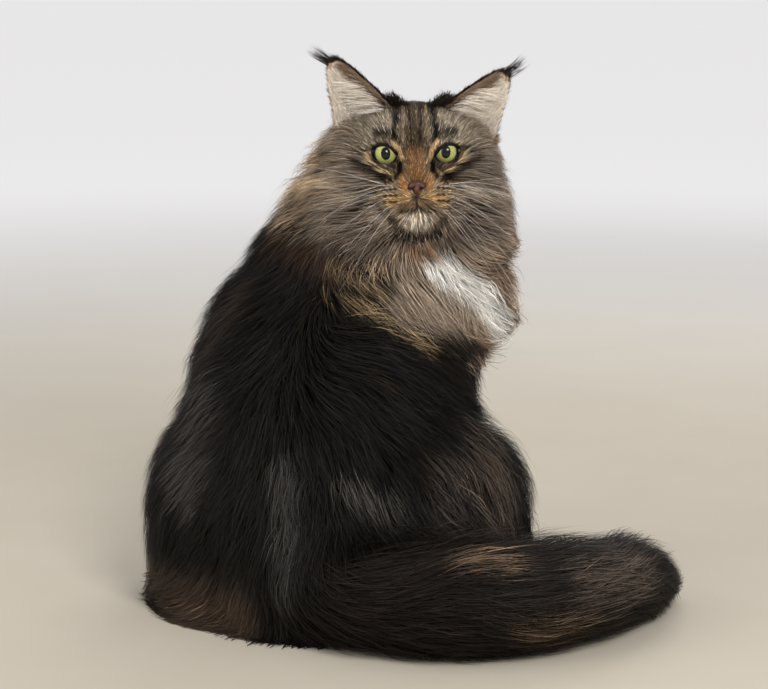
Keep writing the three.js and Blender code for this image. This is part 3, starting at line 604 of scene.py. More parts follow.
@dataclass(frozen=True)
class Markings:
    """The tabby's markings, from the large to the small, laid one over another, with painted sheen and a
    painted shadow among them.
    """

    ruff_plane: tuple[float, float, float] = (0.48, 0.405, 0.778)
    ruff_level: float = 243.0
    ruff_soft: float = 9.0
    front_from: float = 70.0
    front_span: float = 90.0
    front_soft: float = 0.25
    front_rise: float = 0.45
    head_reach: float = 70.0
    head_ease: float = 20.0
    fringe_from: float = 95.0
    fringe_span: float = 40.0

    def body(self) -> list[Mark]:
        """Marks of the trunk, legs and tail, with painted sheen highlights on the rump, the haunches and the
        left flank.
        """
        return [
            # Painted sheen: a pale grey highlight down the middle of the rump.
            Mark(((-2, -104, 135), (3, -120, 40)), 13, srgb(66, 63, 60), 0.6, 0.9, 0.85),
            # Painted sheen: a pale grey highlight on the left flank.
            Mark(((-100, -55, 175), (-105, -75, 110)), 24, srgb(74, 69, 65), 0.65, 0.9, 0.85),
            Mark(((-83, -23, 261), (-100, -30, 210)), 16, srgb(58, 48, 39), 0.6, 0.9, 0.8),
            # Painted sheen: a pale grey highlight on the right haunch.
            Mark(((44, -94, 122), (84, -80, 106)), 11, srgb(84, 79, 74), 0.6, 0.9, 0.85),
            Mark(((118, -40, 130), (112, -50, 90)), 20, srgb(78, 68, 60), 0.6, 0.9, 0.8),
            Mark(((146, 10, 160), (136, -14, 80)), 24, srgb(98, 84, 72), 0.7, 0.95, 0.88),
            Mark(((-150, -30, 26), (-115, -72, 16), (-50, -98, 12)), 24, FOOT_BROWN, 0.9, 0.6),
            Mark(((-120, -68, 14), (-50, -98, 12)), 11, srgb(104, 84, 62), 0.22, 0.6, 0.95),
            Mark(((-60, -10, 306), (10, -24, 288)), 11, srgb(58, 41, 30), 0.7, 0.7, 0.8),
            Mark(((0, -36, 271), (25, -31, 264)), 8, srgb(124, 100, 70), 0.35, 0.9, 0.95),
            Mark(((25, -31, 266), (62, -16, 249), (84, 1, 226)), 7, srgb(160, 136, 100), 0.6, 0.9, 0.93),
            Mark(((9, -23, 291), (42, -20, 275), (76, -7, 250)), 7, srgb(140, 118, 90), 0.55, 0.9, 0.93),
            Mark(((55, -38, 206), (66, -38, 196)), 4, srgb(120, 94, 62), 0.25, 0.7, 0.95),
            Mark(((150, -107, 86), (182, -94, 82)), 11, srgb(124, 102, 82), 0.6, 0.95, 0.88),
            Mark(((196, -92, 28), (236, -60, 26)), 13, srgb(110, 90, 70), 0.5, 0.9, 0.9),
            Mark(((236, -50, 56), (258, 10, 56)), 26, srgb(96, 84, 74), 0.6, 0.8, 0.8),
        ]

    def chest(self) -> list[Mark]:
        """Marks of the ruff and bib, which lie over the rest, with a painted shadow in the gap between the
        bib and the right shoulder.
        """
        return [
            Mark(((70, -4, 262), (92, 21, 251), (104, 40, 236)), 20, srgb(154, 136, 117), 0.9, 0.6, 0.6),
            Mark(((57, 2, 302), (84, 26, 298)), 9, srgb(154, 118, 88), 0.7, 0.8, 0.7),
            Mark(((40, -12, 290), (62, -6, 284)), 8, srgb(186, 160, 128), 0.6, 0.7, 0.7),
            Mark(((80, 22, 284), (92, 33, 275)), 9, WHITE, 1.0, 0.8, 0.75),
            Mark(((86, 30, 280), (106, 53, 264), (119, 73, 243), (124, 100, 222)), 15, WHITE, 1.0, 0.7, 0.65),
            Mark(((104, 120, 250), (70, 150, 240), (20, 152, 214)), 17, srgb(214, 204, 190), 0.8, 0.9, 0.8),
            # Painted shadow: a dark stroke in the gap between the bib and the right shoulder.
            Mark(((92, 24, 230), (106, 46, 218), (112, 70, 206)), 8, srgb(34, 28, 24), 0.9, 0.7, 0.6),
            Mark(((110, 58, 200), (116, 84, 186)), 10, srgb(206, 182, 158), 0.8, 0.8, 0.7),
        ]

    def face(self) -> list[Mark]:
        """Marks of the face."""
        black, dark = srgb(18, 15, 12), srgb(40, 33, 27)
        return [
            FaceMark(((16, 50), (-16, 50)), 10, dark, 0.9, 0.7, 0.6, back=-26),
            FaceMark(((0.4, 56), (0.4, 44)), 3.5, srgb(90, 82, 76), 0.6, 0.8, 0.8, back=-26),
            FaceMark(((0.4, 40), (0.4, 14)), 7.5, srgb(74, 58, 44), 0.7, 0.8, 0.7),
            *paired(((33, 54), (19, 54)), 8, srgb(34, 28, 23), 0.9, edge=0.6, back=-26),
            *paired(((9.6, 44), (9.4, 33), (10.6, 19)), 1.5, srgb(152, 126, 97), 0.5, edge=0.8, grain=0.75),
            *paired(((4.8, 47), (4.2, 31), (3.0, 18)), 1.2, srgb(44, 32, 24), 0.8, edge=0.7, grain=0.6),
            *paired(((12.4, 53), (15.8, 37), (17.8, 28), (16.2, 17)), 2.9, black, 0.9, edge=0.95, grain=0.8),
            *paired(((23, 36), (38, 26), (44, 15)), 6, srgb(152, 140, 120), 0.45, edge=0.9, grain=0.88),
            *paired(((31, 25), (25, 24.5)), 4.2, dark, 0.75, edge=0.8, grain=0.6),
            *paired(((53, 2), (40, -3.2), (29, -8), (23, -11)), 4.8, dark, 0.8, edge=0.8, grain=0.6),
            *paired(((18, 17.5), (13.4, 12), (11.6, 5)), 1.9, srgb(212, 182, 138), 0.85, edge=0.6),
            *paired(((37.5, 8.2), (36, 2.5)), 3.2, srgb(206, 182, 144), 0.8, edge=0.7),
            *paired(((30, -4.5), (20, -8)), 1.7, srgb(204, 178, 134), 0.8, edge=0.7),
            *paired(((28, 17), (37, 14), (47, 8.5)), 1.3, black, 0.9, edge=0.5),
            *paired(((13.4, 0.5), (13.2, -6.5), (16.5, -10)), 2.2, black, 0.95, edge=0.6),
            FaceMark(((0.4, 7), (0.4, -11)), 7.5, RUST, 0.8, 0.8, 0.6),
            *paired(((11.5, -11), (10, -20)), 3.4, ORANGE, 0.7, edge=0.9, grain=0.7),
            *paired(((10, -26), (22, -29)), 6.0, GOLD, 0.75, edge=0.8, grain=0.75),
            *paired(((25, -22), (38, -26)), 3.0, srgb(190, 170, 134), 0.6, edge=0.8, grain=0.7),
            *paired(((40, -21), (64, -28), (88, -36)), 3.4, srgb(190, 174, 152), 0.6, edge=0.9, grain=0.8),
            *paired(((40, -30), (52, -35), (65, -41)), 2.8, black, 0.6, edge=0.9, grain=0.8),
            *[m for row in range(3) for i in range(3) for m in self.whisker_spot(row, i)],
            FaceMark(((88, -2), (108, -40)), 17, srgb(160, 138, 110), 0.7, 0.95, 0.8, back=-70),
            FaceMark(((12, -34), (0.4, -31), (-12, -34)), 3.4, srgb(104, 80, 56), 0.7, 0.8, 0.7),
            FaceMark(((0.4, -27), (0.4, -34)), 0.9, srgb(40, 26, 22), 0.9, 0.6, 0.3),
            *paired(((0.4, -35.5), (8, -37.2), (15, -38.6)), 1.5, srgb(34, 25, 20), 0.9, edge=0.7, grain=0.4),
            FaceMark(((-11, -45), (11, -45)), 6.5, srgb(192, 174, 146), 0.6, 0.8, 0.9),
            FaceMark(((-4, -46), (5, -46)), 5.5, srgb(214, 204, 186), 0.6, 0.9, 0.85),
            *paired(((20, -45), (15, -54)), 4.5, srgb(74, 60, 46), 0.7, edge=0.7),
            FaceMark(((18, -58), (0.4, -61), (-16, -58)), 5.0, black, 0.8, 0.9, 0.8),
        ]

    @staticmethod
    def whisker_spot(row: int, place: int) -> list[FaceMark]:
        """A dark spot at the root of a whisker, on both sides."""
        spot = (17 + 4.2 * place, -19 - 5.2 * row - 0.4 * place)
        return paired((spot, (spot[0] + 0.6, spot[1])), 1.3, srgb(36, 25, 18), 0.95, edge=0.5)

    def tint(self, points: Points, base: Points, chance: Points) -> Points:
        """The colours of places on the coat or skin.

        Args:
            points: The places.
            base: Their colours before any mark.
            chance: How late each hair takes on a mark near the mark's edge, from none to one.

        Returns:
            Their colours with every mark laid over them.
        """
        front = np.clip(points[:, 1] - self.front_from, 0, self.front_span)
        soft = self.ruff_soft + self.front_soft * front
        over = points @ np.array(self.ruff_plane) - self.ruff_level + self.front_rise * front
        over = smooth((over - soft * (2 * chance - 1)) / soft + 0.5)
        from_face = np.linalg.norm(HEAD.into(points) * np.array([1, 0.9, 1]), axis=1)
        ruff = over * (1 - below(from_face, self.head_reach, self.head_ease))
        away = np.linalg.norm(points - np.array(HEAD.at), axis=1)
        fringe = above(away, self.fringe_from, self.fringe_span)[:, None]
        pale = np.array(GREY_TAN) * (1 - fringe) + np.array(WARM_TAN) * fringe
        colours = self.lay(self.body(), points, base, chance)
        colours = colours * (1 - ruff[:, None]) + pale * ruff[:, None]
        return self.lay(self.chest() + self.face(), points, colours, chance)

    @staticmethod
    def lay(marks: list[Mark], points: Points, colours: Points, chance: Points) -> Points:
        """Lays marks over colours, one by one, so that each hair takes them or not."""
        for mark in marks:
            cover = np.clip((mark.cover(points) - mark.grain * chance) / (1 - mark.grain), 0, 1)[:, None]
            colours = colours * (1 - cover) + np.array(mark.colour) * cover
        return colours


MARKINGS_AND_PAINTED_LIGHT = Markings()


def placed(name: str, data: Any) -> bpy.types.Object:
    """Puts a mesh, lamp or camera in the scene as an object of this name."""
    obj = bpy.data.objects.new(name, data)
    bpy.context.scene.collection.objects.link(obj)
    return obj


def select_only(*objects: bpy.types.Object) -> None:
    """Selects these objects alone, with the first one active."""
    bpy.ops.object.select_all(action="DESELECT")
    for obj in objects:
        obj.select_set(True)
    bpy.context.view_layer.objects.active = objects[0]


def apply_modifier(obj: bpy.types.Object, kind: str, **settings: Any) -> None:
    """Adds a modifier with its settings, and applies it."""
    select_only(obj)
    modifier = obj.modifiers.new(kind.title(), kind)
    for key, value in settings.items():
        setattr(modifier, key, value)
    bpy.ops.object.modifier_apply(modifier=modifier.name)


def edit_all(operator: Callable[..., Any], **settings: Any) -> None:
    """Runs an operator of edit mode on the whole of the active mesh."""
    bpy.ops.object.mode_set(mode="EDIT")
    bpy.ops.mesh.select_all(action="SELECT")
    operator(**settings)
    bpy.ops.object.mode_set(mode="OBJECT")


def join(pieces: list[bpy.types.Object]) -> bpy.types.Object:
    """Joins pieces into the first of them."""
    select_only(*pieces)
    bpy.ops.object.join()
    return bpy.context.object


def read_points(mesh: bpy.types.Mesh) -> Points:
    """A mesh's vertices."""
    flat = np.zeros(len(mesh.vertices) * 3)
    mesh.vertices.foreach_get("co", flat)
    return flat.reshape(-1, 3)


def write_points(mesh: bpy.types.Mesh, points: Points) -> None:
    """Moves a mesh's vertices."""
    mesh.vertices.foreach_set("co", np.ascontiguousarray(points, float).ravel())
    mesh.update()


def read_triangles(mesh: bpy.types.Mesh) -> tuple[Points, Points]:
    """The vertices and the face corners of each triangle of a mesh."""
    mesh.calc_loop_triangles()
    corners = np.zeros(len(mesh.loop_triangles) * 3, int)
    loops = np.zeros(len(mesh.loop_triangles) * 3, int)
    mesh.loop_triangles.foreach_get("vertices", corners)
    mesh.loop_triangles.foreach_get("loops", loops)
    return corners.reshape(-1, 3), loops.reshape(-1, 3)


def paint(mesh: bpy.types.Mesh, colours: Points) -> None:
    """Keeps a colour for each vertex as the attribute that the finishes read."""
    layer = mesh.color_attributes.new(name="Tone", type="FLOAT_COLOR", domain="POINT")
    layer.data.foreach_set("color", np.hstack([colours, np.ones((len(colours), 1))]).ravel())


def shaded_smooth(obj: bpy.types.Object) -> None:
    """Shades every face of an object smooth."""
    obj.data.polygons.foreach_set("use_smooth", np.ones(len(obj.data.polygons), bool))
    obj.data.update()


def settle_in(obj: bpy.types.Object, name: str, material: bpy.types.Material) -> bpy.types.Object:
    """Brings a finished piece from millimetres to metres and gives it its name, finish and body."""
    obj.name = name
    obj.data.name = name
    obj.data.transform(Matrix.Scale(MM, 4))
    obj.data.materials.clear()
    obj.data.materials.append(material)
    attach(obj, ROOT)
    LOG.info("%s: %d faces", name, len(obj.data.polygons))
    return obj


@dataclass
class Skin:
    """The one skin under the coat, run together from the masses and limbs of the body."""

    anatomy: Anatomy
    coarse: float = 4.0
    fine: float = 2.4
    sole: float = 1.0
    smoothing: int = 4

    def build(self) -> bpy.types.Object:
        """Models the skin.

        Returns:
            The skin's object, still in millimetres.
        """
        bpy.ops.object.select_all(action="DESELECT")
        for leaf in self.anatomy.body.leaves():
            leaf.blank()
        skin = join([obj for obj in bpy.data.objects if obj.name.startswith("Sphere")])
        bpy.ops.object.transform_apply(location=True, rotation=True, scale=True)
        for voxel in (self.coarse, self.fine):
            apply_modifier(skin, "REMESH", mode="VOXEL", voxel_size=voxel)
            self.fit(skin)
        apply_modifier(skin, "SMOOTH", factor=0.5, iterations=self.smoothing)
        self.unwrap(skin)
        shaded_smooth(skin)
        return skin

    def fit(self, skin: bpy.types.Object) -> None:
        """Moves the skin's vertices to the bare form, with the part under the floor pressed flat."""
        points = read_points(skin.data)
        for _ in range(3):
            points = self.anatomy.body.settle(points, np.full(len(points), BARE))
            points[:, 2] = np.maximum(points[:, 2], self.sole)
        write_points(skin.data, points)

    def unwrap(self, skin: bpy.types.Object) -> None:
        """Unwraps the skin's own shape."""
        select_only(skin)
        edit_all(bpy.ops.uv.smart_project, angle_limit=math.radians(66), island_margin=0.001)
        skin.data.uv_layers[0].name = "OFBake"

    def dress(self, skin: bpy.types.Object, coat: "Coat", material: bpy.types.Material) -> None:
        """Colours the skin as the coat over it, and puts it in the place of the nodes of flesh."""
        points = read_points(skin.data)
        shares = coat.shares(points)
        paint(skin.data, 0.5 * MARKINGS_AND_PAINTED_LIGHT.tint(points, coat.base(shares), np.full(len(points), 0.5)))
        settle_in(skin, "skin", material)
        flesh = [name for name in frame["nodes"] if not name.startswith(("eye", "nose", "ear"))]
        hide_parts(*flesh)


@dataclass
class Seeds:
    """Places that hairs grow from, with their places on the skin's unwrap and their shares of the pelts."""

    points: Points
    spots: Points
    shares: Points

    def pick(self, chosen: Points) -> "Seeds":
        """Some of them."""
        return Seeds(self.points[chosen], self.spots[chosen], self.shares[chosen])


@dataclass
class Hairs:
    """Hairs as runs of points with the way out of the coat at each, their widths and their colours."""

    lines: Points
    outs: Points
    widths: Points
    colours: Points
    spots: Points
    twist: float = 32.0
    patch: float = 0.003
    blade: tuple[float, ...] = (0.8, 1.0, 0.85, 0.6)

    def weave(self, name: str, rng: np.random.Generator) -> bpy.types.Object:
        """Makes each hair a tapered ribbon.

        Args:
            name: The piece's name.
            rng: Where the turns of the ribbons are drawn from.

        Returns:
            The piece, still in millimetres.
        """
        count, stops = self.lines.shape[:2]
        last = stops - 1
        way = unit(np.gradient(self.lines, axis=1))
        angle = np.radians(rng.uniform(-self.twist, self.twist, (count, 1, 1)))
        side = unit(np.cross(way, self.outs))
        over = np.cross(side, way)
        side = side * np.cos(angle) + over * np.sin(angle)
        along = np.arange(last) / last
        half = np.interp(along, np.linspace(0, 1, len(self.blade) + 1), (*self.blade, 0))
        half = 0.5 * self.widths[:, None, None] * half[None, :, None]
        body = self.lines[:, :last]
        edges = np.stack([body - side[:, :last] * half, body + side[:, :last] * half], axis=2)
        points = np.concatenate([edges.reshape(count, -1, 3), self.lines[:, last:]], axis=1)
        tones = np.repeat(self.colours[:, :last], 2, axis=1)
        tones = np.concatenate([tones, self.colours[:, last:]], axis=1)
        each = 2 * last + 1
        faces = []
        for k in range(last - 1):
            a = 2 * k
            faces += [(a, a + 1, a + 3), (a, a + 3, a + 2)]
        faces.append((each - 3, each - 2, each - 1))
        faces = (np.arange(count)[:, None, None] * each + np.array(faces)[None]).reshape(-1, 3)
        mesh = bpy.data.meshes.new(name)
        mesh.vertices.add(count * each)
        mesh.loops.add(len(faces) * 3)
        mesh.polygons.add(len(faces))
        mesh.loops.foreach_set("vertex_index", faces.ravel())
        mesh.polygons.foreach_set("loop_start", np.arange(len(faces)) * 3)
        write_points(mesh, points.reshape(-1, 3))
        mesh.update(calc_edges=True)
        paint(mesh, tones.reshape(-1, 3))
        across = np.array([*([0.0, 1.0] * last), 0.5]) * self.patch
        ahead = np.array([*np.repeat(along, 2), 1.0]) * self.patch
        spots = self.spots[:, None, :] + np.stack([across, ahead], axis=1)[None]
        layer = mesh.uv_layers.new(name="OFBake")
        layer.uv.foreach_set("vector", spots.reshape(-1, 2)[faces.ravel()].ravel())
        obj = placed(name, mesh)
        shaded_smooth(obj)
        return obj


@dataclass
class Coat:
    """The hair that grows on the skin, in one or more pieces for each region."""

    anatomy: Anatomy
    seed: int = 19
    most_faces: int = 180_000
    locks: tuple[tuple[int, float], ...] = ((70, 0.22), (9, 0.2))
    curl: float = 0.26
    short: tuple[float, float] = (0.55, 1.16)
    stray: float = 0.08
    swirls: tuple[tuple[Ripple, float], ...] = ((Ripple(3, 26), 0.17), (Ripple(4, 75), 0.13))
    splay: float = 7.0
    swell: Ripple = Ripple(6, 30)
    shade: Ripple = Ripple(7, 16)
    stray_high: float = 0.24
    held_tip: float = 0.6
    widths: tuple[float, float] = (0.65, 1.2)
    length_spread: float = 0.2
    pelt_blend: float = 5.0
    least_share: float = 0.02
    uneven: float = 0.12
    uneven_short: float = 0.38
    uneven_pale: float = 0.1
    root_tone: float = 0.62
    tip_gain: float = 0.42
    pale_root: float = 0.2
    pale_gain: float = 0.26
    nose_at: tuple[float, float, float] = (0, 60, -19.4)
    nose_size: tuple[float, float, float] = (6.6, 9, 4.8)

    def __post_init__(self) -> None:
        """Lists the pelts, and which of them each mass and limb grows."""
        self.rng = np.random.default_rng(self.seed)
        self.leaves = self.anatomy.body.leaves()
        self.pelts: list[Pelt] = []
        for leaf in self.leaves:
            if leaf.pelt not in self.pelts:
                self.pelts.append(leaf.pelt)
        self.owner = np.array([self.pelts.index(leaf.pelt) for leaf in self.leaves])

    def column(self, what: str) -> Points:
        """One value of every pelt."""
        return np.array([getattr(pelt, what) for pelt in self.pelts], float)

    def shares(self, points: Points) -> Points:
        """How much of each pelt grows at each place."""
        bare = np.full(len(points), BARE)
        gaps = np.array([leaf.sense(points, bare)[0] for leaf in self.leaves])
        weights = np.exp(-(gaps - gaps.min(axis=0)) / self.pelt_blend)
        shares = np.zeros((len(self.pelts), len(points)))
        np.add.at(shares, self.owner, weights)
        return (shares / shares.sum(axis=0)).T

    def base(self, shares: Points) -> Points:
        """The pelts' own colours, mixed."""
        return shares @ self.column("colour")

    def lie(self, points: Points, shares: Points) -> Points:
        """The way that the hair runs at each place."""
        way = np.zeros_like(points)
        for i, pelt in enumerate(self.pelts):
            here = shares[:, i] > self.least_share
            if here.any():
                way[here] += shares[here, i : i + 1] * unit(pelt.lie(points[here]))
        return way

    def sow(self, skin: bpy.types.Object) -> Seeds:
        """Spreads the hairs' roots evenly over the skin, as densely as each pelt asks.

        Args:
            skin: The unwrapped skin, in millimetres.

        Returns:
            The seeds of the whole coat.
        """
        points = read_points(skin.data)
        corners, loops = read_triangles(skin.data)
        spots = np.zeros(len(skin.data.loops) * 2)
        skin.data.uv_layers["OFBake"].uv.foreach_get("vector", spots)
        spots = spots.reshape(-1, 2)
        a, b, c = (points[corners[:, k]] for k in range(3))
        normal = np.cross(b - a, c - a)
        area = 0.5 * np.linalg.norm(normal, axis=1)
        middle = (a + b + c) / 3
        dense = self.shares(middle) @ self.column("dense") * self.bare_places(middle, unit(normal))
        total = np.cumsum(area * dense)
        count = int(total[-1])
        place = (np.arange(count) + self.rng.random(count)) / count * total[-1]
        face = np.minimum(np.searchsorted(total, place), len(total) - 1)
        u, v = self.rng.random((2, count))
        over = u + v > 1
        u[over], v[over] = 1 - u[over], 1 - v[over]
        parts = np.stack([1 - u - v, u, v], axis=1)
        roots = np.einsum("nk,nkd->nd", parts, points[corners[face]])
        uv = np.einsum("nk,nkd->nd", parts, spots[loops[face]])
        return Seeds(roots, uv, self.shares(roots))

    def bare_places(self, points: Points, normals: Points) -> Points:
        """One where hair grows, and none on the soles, the nose and the eyes."""
        q = HEAD.into(points)
        grows = np.ones(len(points))
        grows[(points[:, 2] < 4) & (normals[:, 2] < -0.5)] = 0
        grows[np.linalg.norm((q - np.array(self.nose_at)) / np.array(self.nose_size), axis=1) < 1] = 0
        return grows * (1 - EYES.opening(points))

    def grow(self, seeds: Seeds, joints: int, length: Points) -> Hairs:
        """Runs hairs from their roots along the lie of the coat and out to its outline.

        Args:
            seeds: Where they grow.
            joints: How many steps each one takes.
            length: How long each one is.

        Returns:
            The hairs, coloured.
        """
        rng = self.rng
        count = len(seeds.points)
        loose = above(length, 8, 30)
        reach = self.short[0] + (self.short[1] - self.short[0]) * rng.random(count) ** 0.65
        reach = reach + 0.08 * loose * self.swell.at(seeds.points)
        strays = rng.random(count) < self.stray
        reach = reach + np.where(strays, rng.uniform(0, self.stray_high, count) * loose, 0)
        bend = rng.normal(0, self.curl, count) * (1.3 - 0.3 * loose)
        drift = loose * sum(size * ripple.at(seeds.points) for ripple, size in self.swirls)
        body = self.anatomy.body
        p = seeds.points
        lines, outs = [p], []
        for k in range(joints):
            now, then = k / joints, (k + 1) / joints
            out = unit(body.sense(p, reach * self.rise(now))[1])
            outs.append(out)
            way = unit(flat_on(self.lie(p, seeds.shares), out))
            way = unit(way + np.cross(way, out) * (bend * (0.6 - now) + drift)[:, None])
            free = p + way * (length / joints)[:, None]
            held = body.settle(free, reach * self.rise(then))
            p = held if then < 1 else self.held_tip * held + (1 - self.held_tip) * free
            sunk = np.clip(FLOOR_GAP - p[:, 2], 0, self.splay)
            p[:, :2] += unit(out[:, :2]) * (sunk * rng.random(count) ** 2)[:, None]
            p[:, 2] = np.maximum(p[:, 2], FLOOR_GAP + rng.random(count))
            lines.append(p)
        outs.append(outs[-1])
        lines = np.stack(lines, axis=1)
        outs = np.stack(outs, axis=1)
        lines = self.draw_together(lines)
        widths = seeds.shares @ self.column("width") * rng.uniform(*self.widths, count)
        return Hairs(lines, outs, widths, self.colour(lines, seeds), seeds.spots)

    @staticmethod
    def rise(along: float) -> float:
        """Share of a hair's own height that it has reached at a share of its length."""
        return 1 - (1 - along) ** 1.6

    def draw_together(self, lines: Points) -> Points:
        """Draws hairs towards a few among them, more so towards the tips."""
        count, stops = lines.shape[:2]
        along = np.linspace(0, 1, stops)[None, :, None]
        for every, clump in self.locks:
            guides = lines[::every]
            tree = KDTree(len(guides))
            for i, root in enumerate(guides[:, 0]):
                tree.insert(root, i)
            tree.balance()
            nearest = np.array([tree.find(root)[1] for root in lines[:, 0]])
            pull = clump * along**1.3 * self.rng.uniform(0.3, 1.3, (count, 1, 1))
            lines = lines + (guides[nearest] - lines) * pull
        return lines

    def colour(self, lines: Points, seeds: Seeds) -> Points:
        """Each hair's colours from root to tip."""
        count, stops = lines.shape[:2]
        rng = self.rng
        seen = lines[:, -1:] * 0.6 + lines[:, stops // 2, None] * 0.4
        short = below(seeds.shares @ self.column("length"), 30, 16)[:, None, None]
        places = (seen + (0.5 + 0.45 * short) * (lines - seen)).reshape(-1, 3)
        base = self.base(seeds.shares)
        light = seeds.shares @ self.column("light")
        ticked = rng.random((count, 1)) ** 4
        plain = np.repeat(base * (1 - ticked) + light * ticked, stops, axis=0)
        tone = MARKINGS_AND_PAINTED_LIGHT.tint(places, plain, np.repeat(rng.random(count), stops)).reshape(count, stops, 3)
        pale = above(tone.mean(axis=2, keepdims=True), 0.03, 0.1)
        loose = pale * (1 - short)
        uneven = self.uneven + self.uneven_short * short + self.uneven_pale * loose
        tone = tone * np.exp(rng.normal(0, 1, (count, 1, 1)) * uneven)
        swell = self.shade.at(seeds.points)[:, None, None]
        tone = tone * np.exp((0.12 * (1 - short) + 0.24 * loose) * swell)
        along = np.linspace(0, 1, stops)[None, :, None]
        banded = 0.56 + 0.74 * np.exp(-(((along - 0.55) / 0.25) ** 2))
        gain = self.tip_gain + self.pale_gain * loose
        faded = self.root_tone - self.pale_root * loose + gain * along
        return tone * (faded * (1 - short) + banded * short)

    def build(self, skin: bpy.types.Object, material: bpy.types.Material) -> None:
        """Grows the whole coat on the unwrapped skin, which is in millimetres."""
        seeds = self.sow(skin)
        mine = np.argmax(seeds.shares, axis=1)
        regions = np.array([list(Region).index(pelt.region) for pelt in self.pelts])[mine]
        for number, region in enumerate(Region):
            chosen = np.flatnonzero(regions == number)
            if not len(chosen):
                continue
            pelts = [pelt for pelt in self.pelts if pelt.region == region]
            joints = pelts[0].joints
            chosen = chosen[np.argsort(seeds.points[chosen, 0], kind="stable")]
            each = 2 * joints - 1
            parts = math.ceil(len(chosen) * each / self.most_faces)
            for part, some in enumerate(np.array_split(chosen, parts)):
                own = seeds.pick(some)
                uneven = np.exp(self.rng.normal(0, self.length_spread, len(some)))
                length = own.shares @ self.column("length") * uneven
                hairs = self.grow(own, joints, length)
                name = f"coat_{region.value}" + (f"_{part + 1}" if parts > 1 else "")
                piece = hairs.weave(name, self.rng)
                settle_in(piece, name, material)


@dataclass
class Eye:
    """One eye: its ball with a painted iris and pupil, and the dark rims of its lids."""

    side: Side
    radius: float = 11.3
    apart: float = 24.4
    fore: float = 31.0
    up: float = 8.0
    wide: float = 19.0
    high: float = 16.5
    out: float = -8.0
    slant: float = 21.0
    rim: float = 0.62
    corner: float = 3.6
    lower: float = 1.0
    inner_drop: float = 0.45
    outer_reach: float = 1.3
    top_share: float = 0.92
    cornea: float = 0.8
    ring: float = 10.0

    def __post_init__(self) -> None:
        """Finds the eye's own axes: x aside, y ahead, z up."""
        s = self.side.value
        self.centre = HEAD.out([(s * self.apart, self.fore, self.up)])[0]
        self.axes = HEAD.axes @ turn(s * self.out, 0, -s * self.slant)

    def almond(self, turns: Points) -> Points:
        """Points of the gap between the lids, in the eye's own frame, flat."""
        x = np.cos(turns)
        z = np.sin(turns) * np.abs(np.sin(turns)) ** 0.15
        inner = np.clip(-self.side.value * x, 0, 1) ** 6
        x = x * self.wide / 2 - self.side.value * inner * self.corner
        outer = np.clip(self.side.value * np.cos(turns), 0, 1) ** 8
        x = x + self.side.value * outer * self.outer_reach
        z = np.where(z > 0, self.top_share * z, z) * self.high / 2 - self.lower
        return np.stack([x, z - inner * self.corner * self.inner_drop], axis=1)

    def opening(self, points: Points) -> Points:
        """One for places in front of the eyeball within its gap, and nothing elsewhere."""
        q = (points - self.centre) @ self.axes
        angle = np.arctan2((q[:, 2] + self.lower) / self.high, q[:, 0] / self.wide)
        edge = np.linalg.norm(self.almond(angle), axis=1)
        return ((np.hypot(q[:, 0], q[:, 2]) < edge + 0.4) & (q[:, 1] > 0) & (q[:, 1] < 40)).astype(float)

    def ball(self, material: bpy.types.Material) -> None:
        """Models the eyeball with its cornea a little proud."""
        bpy.ops.mesh.primitive_uv_sphere_add(segments=64, ring_count=40, radius=self.radius)
        ball = bpy.context.object
        points = read_points(ball.data)[:, [0, 2, 1]] * np.array([1, 1, -1])
        off = np.hypot(points[:, 0], points[:, 2])
        points[:, 1] += np.where(points[:, 1] > 0, self.cornea * below(off, 8.5, 6), 0)
        write_points(ball.data, points @ self.axes.T + self.centre)
        shaded_smooth(ball)
        settle_in(ball, f"eye_{self.side.word}_ball", material)
        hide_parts(f"eye_{self.side.word}")

    def lids(self, material: bpy.types.Material) -> None:
        """Models the rims of both lids as one ring along the almond, run out to the inner corner. The upper
        rim is widened into a dark band that is partly painted shade.
        """
        bpy.ops.mesh.primitive_torus_add(
            major_segments=72, minor_segments=10, major_radius=self.ring, minor_radius=self.rim
        )
        ring = bpy.context.object
        points = read_points(ring.data)
        turns = np.arctan2(points[:, 1], points[:, 0])
        aside = np.hypot(points[:, 0], points[:, 1]) - self.ring
        flat = self.almond(turns)
        outward = unit(flat)
        # The upper rim is drawn wider: its dark band is partly the rim and partly painted shade, standing for
        # the shadow that the upper lid casts on the eye.
        upper = smooth(np.sin(turns) * 2)
        place = flat + outward * (aside * (1 + 1.4 * upper) + 0.2 + 0.6 * upper)[:, None]
        ball = self.radius + 0.5
        depth = np.sqrt(np.maximum(ball**2 - np.sum(flat**2, axis=1), 20))
        local = np.stack([place[:, 0], depth + points[:, 2] * 0.8, place[:, 1]], axis=1)
        write_points(ring.data, local @ self.axes.T + self.centre)
        edit_all(bpy.ops.mesh.normals_make_consistent, inside=False)
        shaded_smooth(ring)
        settle_in(ring, f"eye_{self.side.word}_lids", material)


@dataclass
class EyePair:
    """Both eyes."""

    def __post_init__(self) -> None:
        """Places both."""
        self.eyes = [Eye(Side.RIGHT, lower=0.8), Eye(Side.LEFT, lower=1.8)]

    def opening(self, points: Points) -> Points:
        """One for places in front of either eyeball within its gap."""
        return np.maximum(self.eyes[0].opening(points), self.eyes[1].opening(points))

    def sink(self, skin: bpy.types.Object, depth: float = 5.0) -> None:
        """Draws the skin in the gaps back behind the eyeballs' fronts."""
        points = read_points(skin.data)
        for eye in self.eyes:
            q = (points - eye.centre) @ eye.axes
            inside = eye.opening(points) > 0
            q[inside, 1] = np.minimum(q[inside, 1], depth)
            points[inside] = q[inside] @ eye.axes.T + eye.centre
        write_points(skin.data, points)


EYES = EyePair()


